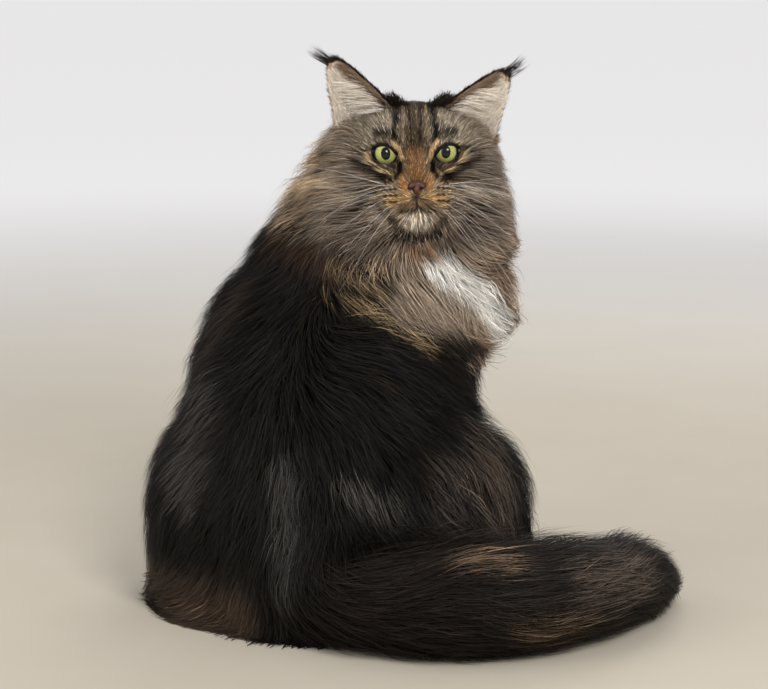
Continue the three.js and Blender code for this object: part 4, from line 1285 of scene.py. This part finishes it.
@dataclass
class Nose:
    """The nose leather, with its two nostrils and the cleft under it."""

    voxel: float = 0.55

    def build(self, material: bpy.types.Material) -> None:
        """Models the nose."""
        bpy.ops.object.select_all(action="DESELECT")
        parts = [
            self.lump((0, 58.4, -16.3), (6.4, 4.8, 3.8), nod=20),
            self.lump((0, 59.4, -19.8), (2.6, 4.2, 4.2)),
            self.lump((0, 58.6, -23.3), (1.5, 3.2, 3.2)),
            *[self.lump((s.value * 4.8, 58.4, -17.6), (2.9, 4.2, 2.8), lean=s.value * 20) for s in Side],
        ]
        nose = join(parts)
        apply_modifier(nose, "REMESH", mode="VOXEL", voxel_size=self.voxel)
        apply_modifier(nose, "SMOOTH", factor=0.6, iterations=6)
        for s in Side:
            hole = self.lump((s.value * 4.2, 62.7, -18.9), (2.1, 3.8, 1.1), lean=s.value * 28)
            cut = self.lump((s.value * 6.6, 61.2, -17.8), (2.4, 2.8, 0.5), lean=-s.value * 30)
            for tool in (hole, cut):
                apply_modifier(nose, "BOOLEAN", operation="DIFFERENCE", solver="EXACT", object=tool)
                bpy.data.objects.remove(tool)
        apply_modifier(nose, "SMOOTH", factor=0.5, iterations=2)
        shaded_smooth(nose)
        settle_in(nose, "nose_leather", material)
        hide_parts("nose")

    @staticmethod
    def lump(centre: tuple, radii: tuple, nod: float = 0, lean: float = 0) -> bpy.types.Object:
        """A rounded lump in the head's frame."""
        bpy.ops.mesh.primitive_uv_sphere_add(segments=32, ring_count=20, radius=1)
        ball = bpy.context.object
        points = read_points(ball.data) * np.array(radii)
        write_points(ball.data, HEAD.out(points @ turn(0, nod, lean).T + np.array(centre)))
        return ball


@dataclass(frozen=True)
class Stand:
    """A stand of hairs on an ear, each a bowed line.

    A stretch of the width runs towards the inner edge, or towards the outer one where edge is -1. The way
    that the hairs point is a sum of shares: of up, of out to the side, of that again by how far aside they
    grow, of the ear's front, and of the way that the tip's tuft points.
    """

    count: int
    height: tuple[float, float]
    across: tuple[float, float]
    edge: int
    way: tuple[float, float, float, float, float]
    length: tuple[float, float]
    width: float
    colour: Colour
    off: float
    bow: float = 0.2
    power: float = 1.0
    spread: float = 0.16


TUFT_DARK = srgb(30, 24, 20)
INNER_PALE = srgb(236, 225, 208)
STANDS = (
    Stand(5200, (-0.1, 0.99), (-1, 1), 1, (1, 0, 0, -0.25, 0), (5, 9), 0.55,
          srgb(52, 44, 37), -LEAF / 2, 0.1),
    Stand(900, (0.0, 0.98), (0.95, 1.01), -1, (1, 0, 0, 0.4, 0), (2, 4), 0.35,
          srgb(190, 152, 114), 0.3, 0.0),
    Stand(1100, (0.0, 0.98), (0.96, 1.02), 1, (1, 0, 0, 0.3, 0), (3, 6), 0.4,
          TUFT_DARK, 0.3, 0.0),
    Stand(1900, (0.3, 0.97), (-0.95, 0.95), 1, (1, 0.3, 0, 0, 0), (2, 4.5), 0.33,
          srgb(186, 162, 142), 1.3, 0.0, 1.0, 0.1),
    Stand(2300, (0.0, 0.86), (0.35, 1.0), 1, (1, 0.45, 0, 0.3, 0), (6, 13), 0.34,
          srgb(136, 114, 92), 1.4, 0.05, 1.1, 0.12),
    Stand(4200, (-0.1, 0.86), (-0.97, 0.45), 1, (1, 0.25, 0.3, 0.3, 0), (4, 10), 0.32,
          INNER_PALE, 1.5, 0.0, 1.1, 0.13),
    Stand(420, (0.05, 0.6), (0.2, 0.9), 1, (0.8, 1, 0, 0.4, 0), (16, 28), 0.3,
          INNER_PALE, 1.4, 0.1, 1.2),
    Stand(1300, (-0.2, 0.16), (0.2, 1.0), -1, (0.7, 0.5, 0, 0.4, 0), (5, 11), 0.4,
          srgb(148, 120, 90), 1.2, 0.1),
    Stand(1500, (-0.16, 0.24), (0.7, 1.3), 1, (1.1, 0.4, -0.5, 0.35, 0), (5, 11), 0.4,
          srgb(46, 38, 32), 3.0, 0.0, 1.0, 0.2),
    Stand(80, (0.94, 1.0), (-0.9, 0.9), 1, (0, 0, 0, 0, 1), (12, 27), 0.36,
          TUFT_DARK, 0.0, -0.1, 1.0, 0.1),
    Stand(60, (0.84, 1.0), (0.7, 1.0), 1, (1, 0, 0, 0, 0.7), (5, 11), 0.36,
          TUFT_DARK, 0.0, 0.0, 1.0, 0.1),
)


@dataclass
class Ear:
    """One ear: a thin cupped leaf, furred short behind, long from its inner edge and tufted at its tip."""

    side: Side
    base: tuple[float, float, float]
    tip: tuple[float, float, float]
    spread: tuple[float, float, float]
    wide: float
    thick: float = LEAF
    sink: float = 0.24
    tip_half: float = 1.6
    taper: float = 0.66
    pinch: float = 0.05
    cup: float = 0.62
    cup_fade: float = 0.45
    tuft: tuple[float, float, float] = (0.86, -0.15, 0.5)

    def __post_init__(self) -> None:
        """Finds the ear's axes in the head's frame."""
        self.foot = np.array(self.base, float)
        self.rise = np.array(self.tip, float) - self.foot
        self.aside = unit(np.array(self.spread, float))
        front = unit(np.cross(unit(self.rise), self.aside))
        self.front = front if front[1] > 0 else -front

    def place(self, u: Points, v: Points, off: float | Points = 0.0) -> Points:
        """Places on the leaf, from u along its height and v from edge to edge, in the head's frame."""
        climb = np.maximum(u, 0)
        taper = np.maximum(1 - climb, 0) ** self.taper * (1 - self.pinch * np.sin(climb * math.pi))
        half = self.wide / 2 * taper + self.tip_half
        cup = half * self.cup * (1 - self.cup_fade * climb)
        ahead = cup * v**2 - cup + off
        level = self.foot + u[:, None] * self.rise + (half * v)[:, None] * self.aside
        return level + ahead[:, None] * self.front

    def leaf(self, material: bpy.types.Material) -> None:
        """Models the leaf from a grid, with its thickness."""
        bpy.ops.mesh.primitive_grid_add(x_subdivisions=24, y_subdivisions=36, size=2)
        grid = bpy.context.object
        flat = read_points(grid.data)
        u = -self.sink + (1 + self.sink) * (flat[:, 1] + 1) / 2
        places = self.place(u, flat[:, 0])
        write_points(grid.data, HEAD.out(places))
        apply_modifier(grid, "SOLIDIFY", thickness=self.thick, offset=0)
        apply_modifier(grid, "SUBSURF", levels=1, render_levels=1)
        shaded_smooth(grid)
        points = read_points(grid.data)
        inner = smooth(-self.side.value * HEAD.into(points)[:, 0] / 20 + 2.2)[:, None]
        paint(grid.data, np.array(srgb(196, 172, 156)) * (1 - inner) + np.array(srgb(120, 96, 78)) * inner)
        settle_in(grid, f"ear_{self.side.word}_leaf", material)
        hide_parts(f"ear_{self.side.word}")

    def hairs(self, rng: np.random.Generator, stand: Stand) -> Hairs:
        """The hairs of one stand on the leaf.

        Args:
            rng: Where the draws come from.
            stand: How they grow.

        Returns:
            The hairs.
        """
        s = self.side.value
        inner = -1.0 if self.aside[0] * s > 0 else 1.0
        ends = sorted(stand.edge * inner * end for end in stand.across)
        count = stand.count
        us = stand.height[0] + (stand.height[1] - stand.height[0]) * rng.random(count) ** stand.power
        vs = ends[0] + (ends[1] - ends[0]) * rng.random(count)
        roots = self.place(us, vs, stand.off)
        up, out, fan, front, tuft = stand.way
        aside = (out + fan * vs * inner)[:, None] * (self.aside * -inner)
        tuft_way = np.array(self.tuft) * np.array([s, 1, 1])
        way = unit(self.rise) * up + aside + self.front * front + tuft_way * tuft
        ways = unit(way + rng.normal(0, stand.spread, (count, 3)))
        long = rng.uniform(*stand.length, count)[:, None]
        sag = np.array([0, 0, -1.0]) * stand.bow
        stops = [0, 0.35, 0.7, 1]
        lines = np.stack([roots + ways * long * t + sag * long * t * t for t in stops], axis=1)
        outs = np.tile(self.front, (count, len(stops), 1)) * (1 if stand.off >= 0 else -1)
        tone = np.array(stand.colour) * np.exp(rng.normal(0, 0.2, (count, 1)))
        shade = np.array([0.6, 0.85, 1.0, 1.05])[None, :, None]
        spots = np.stack([0.02 + 0.05 * us, 0.02 + 0.05 * (vs + 1) / 2], axis=1)
        lines = HEAD.out(lines.reshape(-1, 3)).reshape(lines.shape)
        outs = HEAD.way(outs.reshape(-1, 3)).reshape(outs.shape)
        widths = stand.width * rng.uniform(0.7, 1.2, count)
        return Hairs(lines, outs, widths, tone[:, None, :] * shade, spots)

    def build(self, leaf_finish: bpy.types.Material, hair_finish: bpy.types.Material, seed: int) -> None:
        """Models the ear and its hair."""
        rng = np.random.default_rng(seed)
        self.leaf(leaf_finish)
        stands = [self.hairs(rng, stand) for stand in STANDS]
        piece = join([hairs.weave(f"ear_stand_{i}", rng) for i, hairs in enumerate(stands)])
        settle_in(piece, f"coat_ear_{self.side.word}", hair_finish)


def bent_cone(run: Points, radius: float, sides: int, taper: float = 0.75) -> bpy.types.Object:
    """Models a cone and bends it along a run of points.

    Args:
        run: The points, in the body's frame.
        radius: Radius at the root.
        sides: How many sides it has.
        taper: Share of its radius that it loses on the way.

    Returns:
        The bent cone, still in millimetres.
    """
    last = len(run) - 1
    bpy.ops.mesh.primitive_cone_add(vertices=sides, radius1=1, radius2=0.1, depth=1, end_fill_type="NGON")
    tube = bpy.context.object
    bpy.ops.object.mode_set(mode="EDIT")
    bpy.ops.mesh.select_all(action="SELECT")
    for i in range(1, last):
        bpy.ops.mesh.bisect(plane_co=(0, 0, 0.5 - i / last), plane_no=(0, 0, 1))
        bpy.ops.mesh.select_all(action="SELECT")
    bpy.ops.object.mode_set(mode="OBJECT")
    points = read_points(tube.data)
    stop = np.clip((points[:, 2] + 0.5) * last, 0, last)
    low = np.minimum(stop.astype(int), last - 1)
    middle = run[low] + (run[low + 1] - run[low]) * (stop - low)[:, None]
    way = unit(run[low + 1] - run[low])
    across = unit(np.cross(way, np.array([0.0, 0.2, 1.0])))
    over = np.cross(across, way)
    size = (radius * (1 - taper * stop / last))[:, None]
    flat = unit(points[:, :2])
    write_points(tube.data, middle + (across * flat[:, :1] + over * flat[:, 1:]) * size)
    return tube


def joined(pieces: list[bpy.types.Object], name: str, material: bpy.types.Material) -> bpy.types.Object:
    """Joins pieces into one with all its faces outward, and settles it in."""
    piece = join(pieces)
    edit_all(bpy.ops.mesh.normals_make_consistent, inside=False)
    shaded_smooth(piece)
    return settle_in(piece, name, material)


@dataclass
class Whiskers:
    """Long white whiskers in rows on the pads of the muzzle, and a few over each eye."""

    rows: int = 4
    in_row: int = 5
    length: tuple[float, float] = (66.0, 112.0)
    thick: float = 0.27
    first: tuple[float, float, float] = (13, 54, -18)
    each_place: tuple[float, float, float] = (3.2, -1.7, 0)
    each_row: tuple[float, float, float] = (0, -0.6, -4.2)
    over_eye: int = 3

    def lines(self) -> list[Points]:
        """Each whisker's points in the head's frame."""
        rng = np.random.default_rng(5)
        first, each_place, each_row = (np.array(v) for v in (self.first, self.each_place, self.each_row))
        found = []
        for side in Side:
            s = side.value
            for row in range(self.rows):
                for place in range(self.in_row - (row == 0)):
                    root = (first + each_place * place + each_row * row) * np.array([s, 1, 1])
                    long = rng.uniform(*self.length) * (0.62 + 0.1 * place)
                    rise = 0.2 - 0.34 * row + rng.normal(0, 0.12)
                    way = unit(np.array([s * 1.0, 0.3 - 0.2 * place + rng.normal(0, 0.1), rise]))
                    found.append((root, way, long, 0.34 + 0.12 * rng.normal()))
            for place in range(self.over_eye):
                root = np.array([s * (19 + 4 * place), 37 - 1.5 * place, 22 + 0.4 * place])
                way = unit(np.array([s * (0.12 + 0.2 * place), 0.4, 1.0]))
                found.append((root, way, rng.uniform(26, 42), 0.22))
        t = np.linspace(-0.06, 1, 12)[:, None]
        bow = np.array([0, -0.25, -1.0]) * np.maximum(t, 0) ** 2
        return [root + way * long * t + bow * sag * long for root, way, long, sag in found]

    def build(self, material: bpy.types.Material) -> None:
        """Models all whiskers as tapered tubes, in one piece."""
        tubes = [bent_cone(HEAD.out(run), self.thick / 2, 5) for run in self.lines()]
        piece = joined(tubes, "whiskers", material)


@dataclass
class Claws:
    """The tips of the drawn-in claws, one at the end of each toe."""

    anatomy: Anatomy
    long: float = 4.6
    radius: float = 1.2
    apart: float = 0.56
    past: float = 0.36
    bow: float = 0.12
    high: float = 0.42
    hook: float = 0.55
    lowest: float = 1.6

    def roots(self) -> list[tuple[Points, Points]]:
        """Where each claw starts and the level way that its toe points."""
        found = []
        for side in Side:
            feet = ((self.anatomy.foreleg_stations[side], 0.62), (self.anatomy.hind_stations[side], 0.45))
            for stations, reach in feet:
                heel, ball = np.array(stations[-2]), np.array(stations[-1])
                ahead = unit(np.array([ball[0] - heel[0], ball[1] - heel[1], 0.0]))
                aside = np.array([ahead[1], -ahead[0], 0.0])
                for place in self.anatomy.toes:
                    step = ahead * (reach + self.past - self.bow * place**2)
                    root = ball[:3] + (aside * self.apart * place + step) * ball[3]
                    root[2] = self.high * ball[3]
                    found.append((root, unit(ahead + self.bow * place * aside)))
        return found

    def build(self, material: bpy.types.Material) -> None:
        """Models them all as one piece."""
        t = np.linspace(0, 1, 7)[:, None]
        down = np.array([0, 0, -1.0])
        cones = []
        for root, way in self.roots():
            run = root + way * self.long * t + down * self.hook * self.long * t**2
            run[:, 2] = np.maximum(run[:, 2], self.lowest)
            cones.append(bent_cone(run, self.radius, 10, 0.9))
        piece = joined(cones, "claws", material)


def maths(operation: str, swapped: bool = False) -> Callable[["Wire", Any], "Wire"]:
    """An operator of Wire: a Math node on the wire and the other value, in this order or swapped."""

    def operator(wire: "Wire", other: Any) -> "Wire":
        pair = (other, wire) if swapped else (wire, other)
        return wire.graph.add("ShaderNodeMath", {"operation": operation}, dict(enumerate(pair)))

    return operator


class Wire:
    """A node's output, which can stand in sums with numbers and other outputs."""

    __add__ = maths("ADD")
    __radd__ = maths("ADD", swapped=True)
    __rsub__ = maths("SUBTRACT", swapped=True)
    __mul__ = maths("MULTIPLY")
    __rmul__ = maths("MULTIPLY", swapped=True)
    __truediv__ = maths("DIVIDE")
    __pow__ = maths("POWER")

    def __init__(self, graph: "Graph", socket: Any) -> None:
        """Wraps a socket of a graph."""
        self.graph = graph
        self.socket = socket

    def step(self, low: float, high: float) -> "Wire":
        """An ease from 0 at low to 1 at high."""
        settings = {"interpolation_type": "SMOOTHSTEP", "data_type": "FLOAT"}
        values = {"Value": self, "From Min": low, "From Max": high}
        return self.graph.add("ShaderNodeMapRange", settings, values)


class Graph:
    """A material's nodes."""

    def __init__(self, name: str) -> None:
        """Starts an empty material."""
        self.material = bpy.data.materials.new(name)
        self.material.use_nodes = True
        self.tree = self.material.node_tree
        self.tree.nodes.clear()

    def add(self, kind: str, settings: dict[str, Any], values: dict[Any, Any], out: int | str = 0) -> Wire:
        """Adds a node.

        Args:
            kind: The node's type.
            settings: Its own settings, set first.
            values: Values or links of its input sockets, by name or number.
            out: The output that is wanted.

        Returns:
            That output.
        """
        node = self.tree.nodes.new(kind)
        for key, value in settings.items():
            setattr(node, key, value)
        for key, value in values.items():
            if isinstance(value, Wire):
                self.tree.links.new(value.socket, node.inputs[key])
            else:
                node.inputs[key].default_value = value
        return Wire(self, node.outputs[out])

    def mix(self, factor: Any, first: Any, second: Any, blend: str = "MIX") -> Wire:
        """A mix of two colours."""
        settings = {"data_type": "RGBA", "blend_type": blend}
        return self.add("ShaderNodeMix", settings, {0: factor, 6: self.full(first), 7: self.full(second)}, 2)

    @staticmethod
    def full(colour: Any) -> Any:
        """A colour with its alpha, or the wire that it comes from."""
        return colour if isinstance(colour, Wire) else (*colour, 1.0)

    def place(self) -> Wire:
        """Object coordinates."""
        return self.add("ShaderNodeTexCoord", {}, {}, "Object")

    def noise(self, scale: float, detail: float = 2.0, rough: float = 0.5, place: Wire | None = None) -> Wire:
        """Noise from 0 to 1 over object coordinates, with a scale in waves to the metre."""
        values = {"Vector": place or self.place(), "Scale": scale, "Detail": detail, "Roughness": rough}
        return self.add("ShaderNodeTexNoise", {}, values)

    def toned(self, grain: Wire, low: float, span: float) -> Wire:
        """The colours painted on the mesh, made darker and lighter by a grain."""
        tone = self.add("ShaderNodeAttribute", {"attribute_name": "Tone"}, {}, "Color")
        shade = self.add("ShaderNodeCombineColor", {}, {i: low + span * grain for i in range(3)})
        return self.mix(1.0, tone, shade, "MULTIPLY")

    def bump(self, height: Wire, strength: float, distance: float) -> Wire:
        """A Bump node's normal."""
        return self.add("ShaderNodeBump", {}, {"Height": height, "Strength": strength, "Distance": distance})

    def finish(self, **sockets: Any) -> bpy.types.Material:
        """Ends the material with a Principled shader of these sockets, given with _ for each space."""
        values = {key.replace("_", " "): value for key, value in sockets.items()}
        shader = self.add("ShaderNodeBsdfPrincipled", {}, values)
        self.add_output(shader)
        return self.material

    def add_output(self, shader: Wire) -> None:
        """Links a shader to the material's output."""
        output = self.tree.nodes.new("ShaderNodeOutputMaterial")
        self.tree.links.new(shader.socket, output.inputs["Surface"])


@dataclass(frozen=True)
class HairFinish:
    """Hair: the colours of its tones, broken by fine streaks, with a soft gloss."""

    name: str = "hair"
    rough: float = 0.5
    gloss: float = 0.12
    streaks: float = 700.0

    def build(self) -> bpy.types.Material:
        """Makes the material."""
        g = Graph(self.name)
        streak = g.noise(self.streaks, 1.0)
        tone = g.toned(streak, 0.72, 0.56)
        return g.finish(Base_Color=tone, Roughness=self.rough + 0.12 * streak, Specular_IOR_Level=self.gloss)


@dataclass(frozen=True)
class SkinFinish:
    """Short underfur close to the skin: the coat's tones, darker, with the grain of cropped hair."""

    name: str = "underfur"
    rough: float = 0.75

    def build(self) -> bpy.types.Material:
        """Makes the material."""
        g = Graph(self.name)
        grain = g.noise(900.0, 3.0, 0.6)
        return g.finish(Base_Color=g.toned(grain, 0.6, 0.8), Roughness=self.rough + 0.15 * grain,
                        Normal=g.bump(grain, 0.6, 0.0006))


@dataclass(frozen=True)
class LeatherFinish:
    """Bare skin, pebbled in fine cells, with painted shade in the grooves between them: of the nose and of
    the lids' rims.
    """

    name: str
    colour: Colour
    dark: Colour
    rough: float = 0.42
    cells: float = 1400.0
    gloss: float = 0.5

    def build(self) -> bpy.types.Material:
        """Makes the material."""
        g = Graph(self.name)
        cells = g.add("ShaderNodeTexVoronoi", {"feature": "F1"}, {"Vector": g.place(), "Scale": self.cells})
        blotch = g.noise(260.0, 3.0, 0.6)
        colour = g.mix(blotch.step(0.35, 0.7), self.dark, self.colour)
        # Painted shade: the grooves between the cells are darkened towards the dark colour.
        colour = g.mix(cells.step(0.3, 0.75) * 0.5, colour, self.dark)
        rough = self.rough + 0.2 * cells
        pebbles = g.bump(1 - cells, 0.5, 0.0004)
        return g.finish(Base_Color=colour, Roughness=rough, Normal=pebbles, Coat_Weight=0.4 * self.gloss,
                        Coat_Roughness=0.25, Specular_IOR_Level=self.gloss)


@dataclass(frozen=True)
class EyeFinish:
    """A pale yellow-green eye with a dark edge, fine rays and an upright oval pupil, under clear gloss."""

    eye: Eye
    iris: float = 9.2
    pupil_wide: float = 3.9
    pupil_high: float = 5.3
    look_up: float = 4.0

    def build(self) -> bpy.types.Material:
        """Makes the material, drawn about the eye's own line of sight."""
        g = Graph(f"eye_{self.eye.side.word}")
        axes = Matrix((HEAD.axes @ turn(0, self.look_up)).tolist())
        place = g.add("ShaderNodeVectorMath", {"operation": "SUBTRACT"},
                      {0: g.place(), 1: tuple(self.eye.centre * MM)})
        parts = []
        for i in (0, 2, 1):
            axis = tuple(axes.col[i])
            dot = g.add("ShaderNodeVectorMath", {"operation": "DOT_PRODUCT"}, {0: place, 1: axis}, "Value")
            parts.append(dot * (1 / MM))
        x, z, y = parts
        far = (x * x + z * z) ** 0.5
        angle = g.add("ShaderNodeMath", {"operation": "ARCTAN2"}, {0: z, 1: x})
        spoke = g.add("ShaderNodeCombineXYZ", {}, {"X": angle * 4.0, "Y": far * 0.18, "Z": 0.0})
        rays = g.noise(3.2, 4.0, 0.65, spoke)
        blotch = g.noise(420.0, 2.0)
        green = g.mix(rays.step(0.3, 0.7), srgb(128, 132, 68), srgb(192, 194, 118))
        green = g.mix(blotch.step(0.45, 0.75) * 0.4, green, srgb(158, 154, 84))
        warm = g.mix((1 - far.step(self.iris * 0.3, self.iris * 0.62)) * 0.4, green, srgb(196, 186, 92))
        edge = far.step(self.iris * 0.82, self.iris * 0.98)
        colour = g.mix(edge, warm, srgb(20, 18, 12))
        oval = ((x / self.pupil_wide) ** 2 + (z / self.pupil_high) ** 2) ** 0.5
        colour = g.mix(1 - oval.step(0.92, 1.08), colour, (0.002, 0.002, 0.002))
        colour = g.mix(1 - y.step(0.0, 1.0), colour, srgb(120, 100, 88))
        return g.finish(Base_Color=colour, Roughness=0.18 + 0.1 * rays, Coat_Weight=0.5, Coat_Roughness=0.03,
                        Specular_IOR_Level=0.12)


@dataclass(frozen=True)
class WhiskerFinish:
    """Whiskers: stiff white hair, greyer in places."""

    name: str = "whisker"

    def build(self) -> bpy.types.Material:
        """Makes the material."""
        g = Graph(self.name)
        cloud = g.noise(60.0, 1.0)
        return g.finish(Base_Color=g.mix(cloud, srgb(214, 208, 198), srgb(246, 244, 240)),
                        Roughness=0.3 + 0.1 * cloud, Specular_IOR_Level=0.5)


@dataclass(frozen=True)
class ClawFinish:
    """Claws: smooth horn, pale and a little streaked along."""

    name: str = "claw"

    def build(self) -> bpy.types.Material:
        """Makes the material."""
        g = Graph(self.name)
        streak = g.noise(900.0, 3.0, 0.6)
        return g.finish(Base_Color=g.mix(streak, srgb(150, 132, 112), srgb(206, 192, 172)),
                        Roughness=0.25 + 0.2 * streak, Specular_IOR_Level=0.5, Coat_Weight=0.3)


@dataclass(frozen=True)
class StageFinish:
    """A pale matt floor with the faintest mottling, whiter and brighter far from the cat."""

    name: str
    pale: Colour
    dark: Colour
    white: Colour = (0.80, 0.80, 0.80)
    glow: Colour = (0.39, 0.38, 0.375)

    def build(self) -> bpy.types.Material:
        """Makes the material."""
        g = Graph(self.name)
        cloud = g.noise(6.0, 4.0, 0.6)
        grain = g.noise(500.0, 2.0)
        far = g.add("ShaderNodeVectorMath", {"operation": "LENGTH"}, {0: g.place()}, "Value").step(0.6, 3.4)
        ground = g.mix(cloud, self.dark, self.pale)
        return g.finish(Base_Color=g.mix(far, ground, self.white), Roughness=0.8 + 0.1 * grain,
                        Emission_Color=g.mix(far, (0, 0, 0), self.glow), Emission_Strength=1.0,
                        Normal=g.bump(grain, 0.15, 0.0004))


@dataclass
class Studio:
    """The camera of the photo, a very wide pale floor, and soft light."""

    azimuth: float = 20.0
    down: float = 10.0
    distance: float = 2000.0
    aim_side: float = 40.0
    aim_high: float = 225.0
    lens: float = 114.3
    wide: float = 26.0  # the floor's radius in metres, unlike the rest
    lamps: tuple[tuple[str, float, float, float, float, float], ...] = (
        ("key", 560, -1500, 1350, 26.0, 0.6),
        ("fill", -1500, -700, 1000, 12.0, 1.4),
        ("rim", 500, 1300, 1300, 9.0, 1.0),
    )  # name, aside, ahead, height, power, size

    def build(self) -> None:
        """Sets it all up."""
        a, e = math.radians(self.azimuth), math.radians(self.down)
        right = Vector((math.cos(a), math.sin(a), 0))
        level = Vector((-math.sin(a), math.cos(a), 0))
        ahead = level * math.cos(e) - Vector((0, 0, math.sin(e)))
        target = right * self.aim_side + Vector((0, 0, self.aim_high))
        data = bpy.data.cameras.new("camera")
        data.lens = self.lens
        data.sensor_width = 36.0
        data.sensor_fit = "HORIZONTAL"
        data.clip_end = 50
        camera = placed("camera", data)
        camera.location = (target - ahead * self.distance) * MM
        camera.rotation_euler = ahead.to_track_quat("-Z", "Y").to_euler()
        bpy.context.scene.camera = camera
        self.floor()
        for name, aside, forward, high, power, size in self.lamps:
            self.lamp(name, right * aside + level * forward + Vector((0, 0, high)), power, size)
        world = bpy.data.worlds.new("studio")
        world.use_nodes = True
        shade = world.node_tree.nodes["Background"]
        shade.inputs["Color"].default_value = (*srgb(234, 234, 237), 1)
        shade.inputs["Strength"].default_value = 0.62
        bpy.context.scene.world = world
        bpy.context.scene.view_settings.view_transform = "Standard"

    def lamp(self, name: str, at: Vector, power: float, size: float) -> None:
        """Hangs a soft square lamp that looks at the cat."""
        data = bpy.data.lights.new(name, "AREA")
        data.energy = power
        data.size = size
        lamp = placed(name, data)
        lamp.location = at * MM
        lamp.rotation_euler = (Vector((0, 0, 230)) - at).to_track_quat("-Z", "Y").to_euler()

    def floor(self) -> None:
        """Lays a floor so wide that its far edge is out of view."""
        bpy.ops.object.select_all(action="DESELECT")
        bpy.ops.mesh.primitive_circle_add(vertices=96, radius=self.wide, fill_type="NGON")
        floor = bpy.context.object
        edit_all(bpy.ops.mesh.inset, thickness=0.8 * self.wide)
        floor.name = "floor"
        floor.data.materials.append(StageFinish("floor", srgb(198, 189, 172), srgb(189, 179, 161)).build())


def main() -> None:
    """Builds the cat and its studio."""
    logging.basicConfig(level=logging.INFO, format="%(message)s")
    anatomy = Anatomy()
    hair = HairFinish().build()
    underfur = SkinFinish().build()
    skin = Skin(anatomy)
    body = skin.build()
    EYES.sink(body)
    coat = Coat(anatomy)
    coat.build(body, hair)
    skin.dress(body, coat, underfur)
    rim = LeatherFinish("lid_rim", srgb(26, 20, 17), srgb(13, 10, 9), gloss=0.12).build()
    for eye in EYES.eyes:
        eye.ball(EyeFinish(eye).build())
        eye.lids(rim)
    Nose().build(LeatherFinish("nose_leather", srgb(106, 62, 48), srgb(42, 28, 22), gloss=0.3).build())
    ears = [
        Ear(Side.RIGHT, (37, -8, 27), (65, -4, 82), (46, 0, -20), 54),
        Ear(Side.LEFT, (-41, -8, 24), (-74, -4, 68), (42, 0, 30), 52),
    ]
    for number, ear in enumerate(ears):
        ear.build(underfur, hair, 31 + number)
    Whiskers().build(WhiskerFinish().build())
    Claws(anatomy).build(ClawFinish().build())
    Studio().build()
    bpy.context.view_layer.update()


if __name__ == "__main__":
    main()
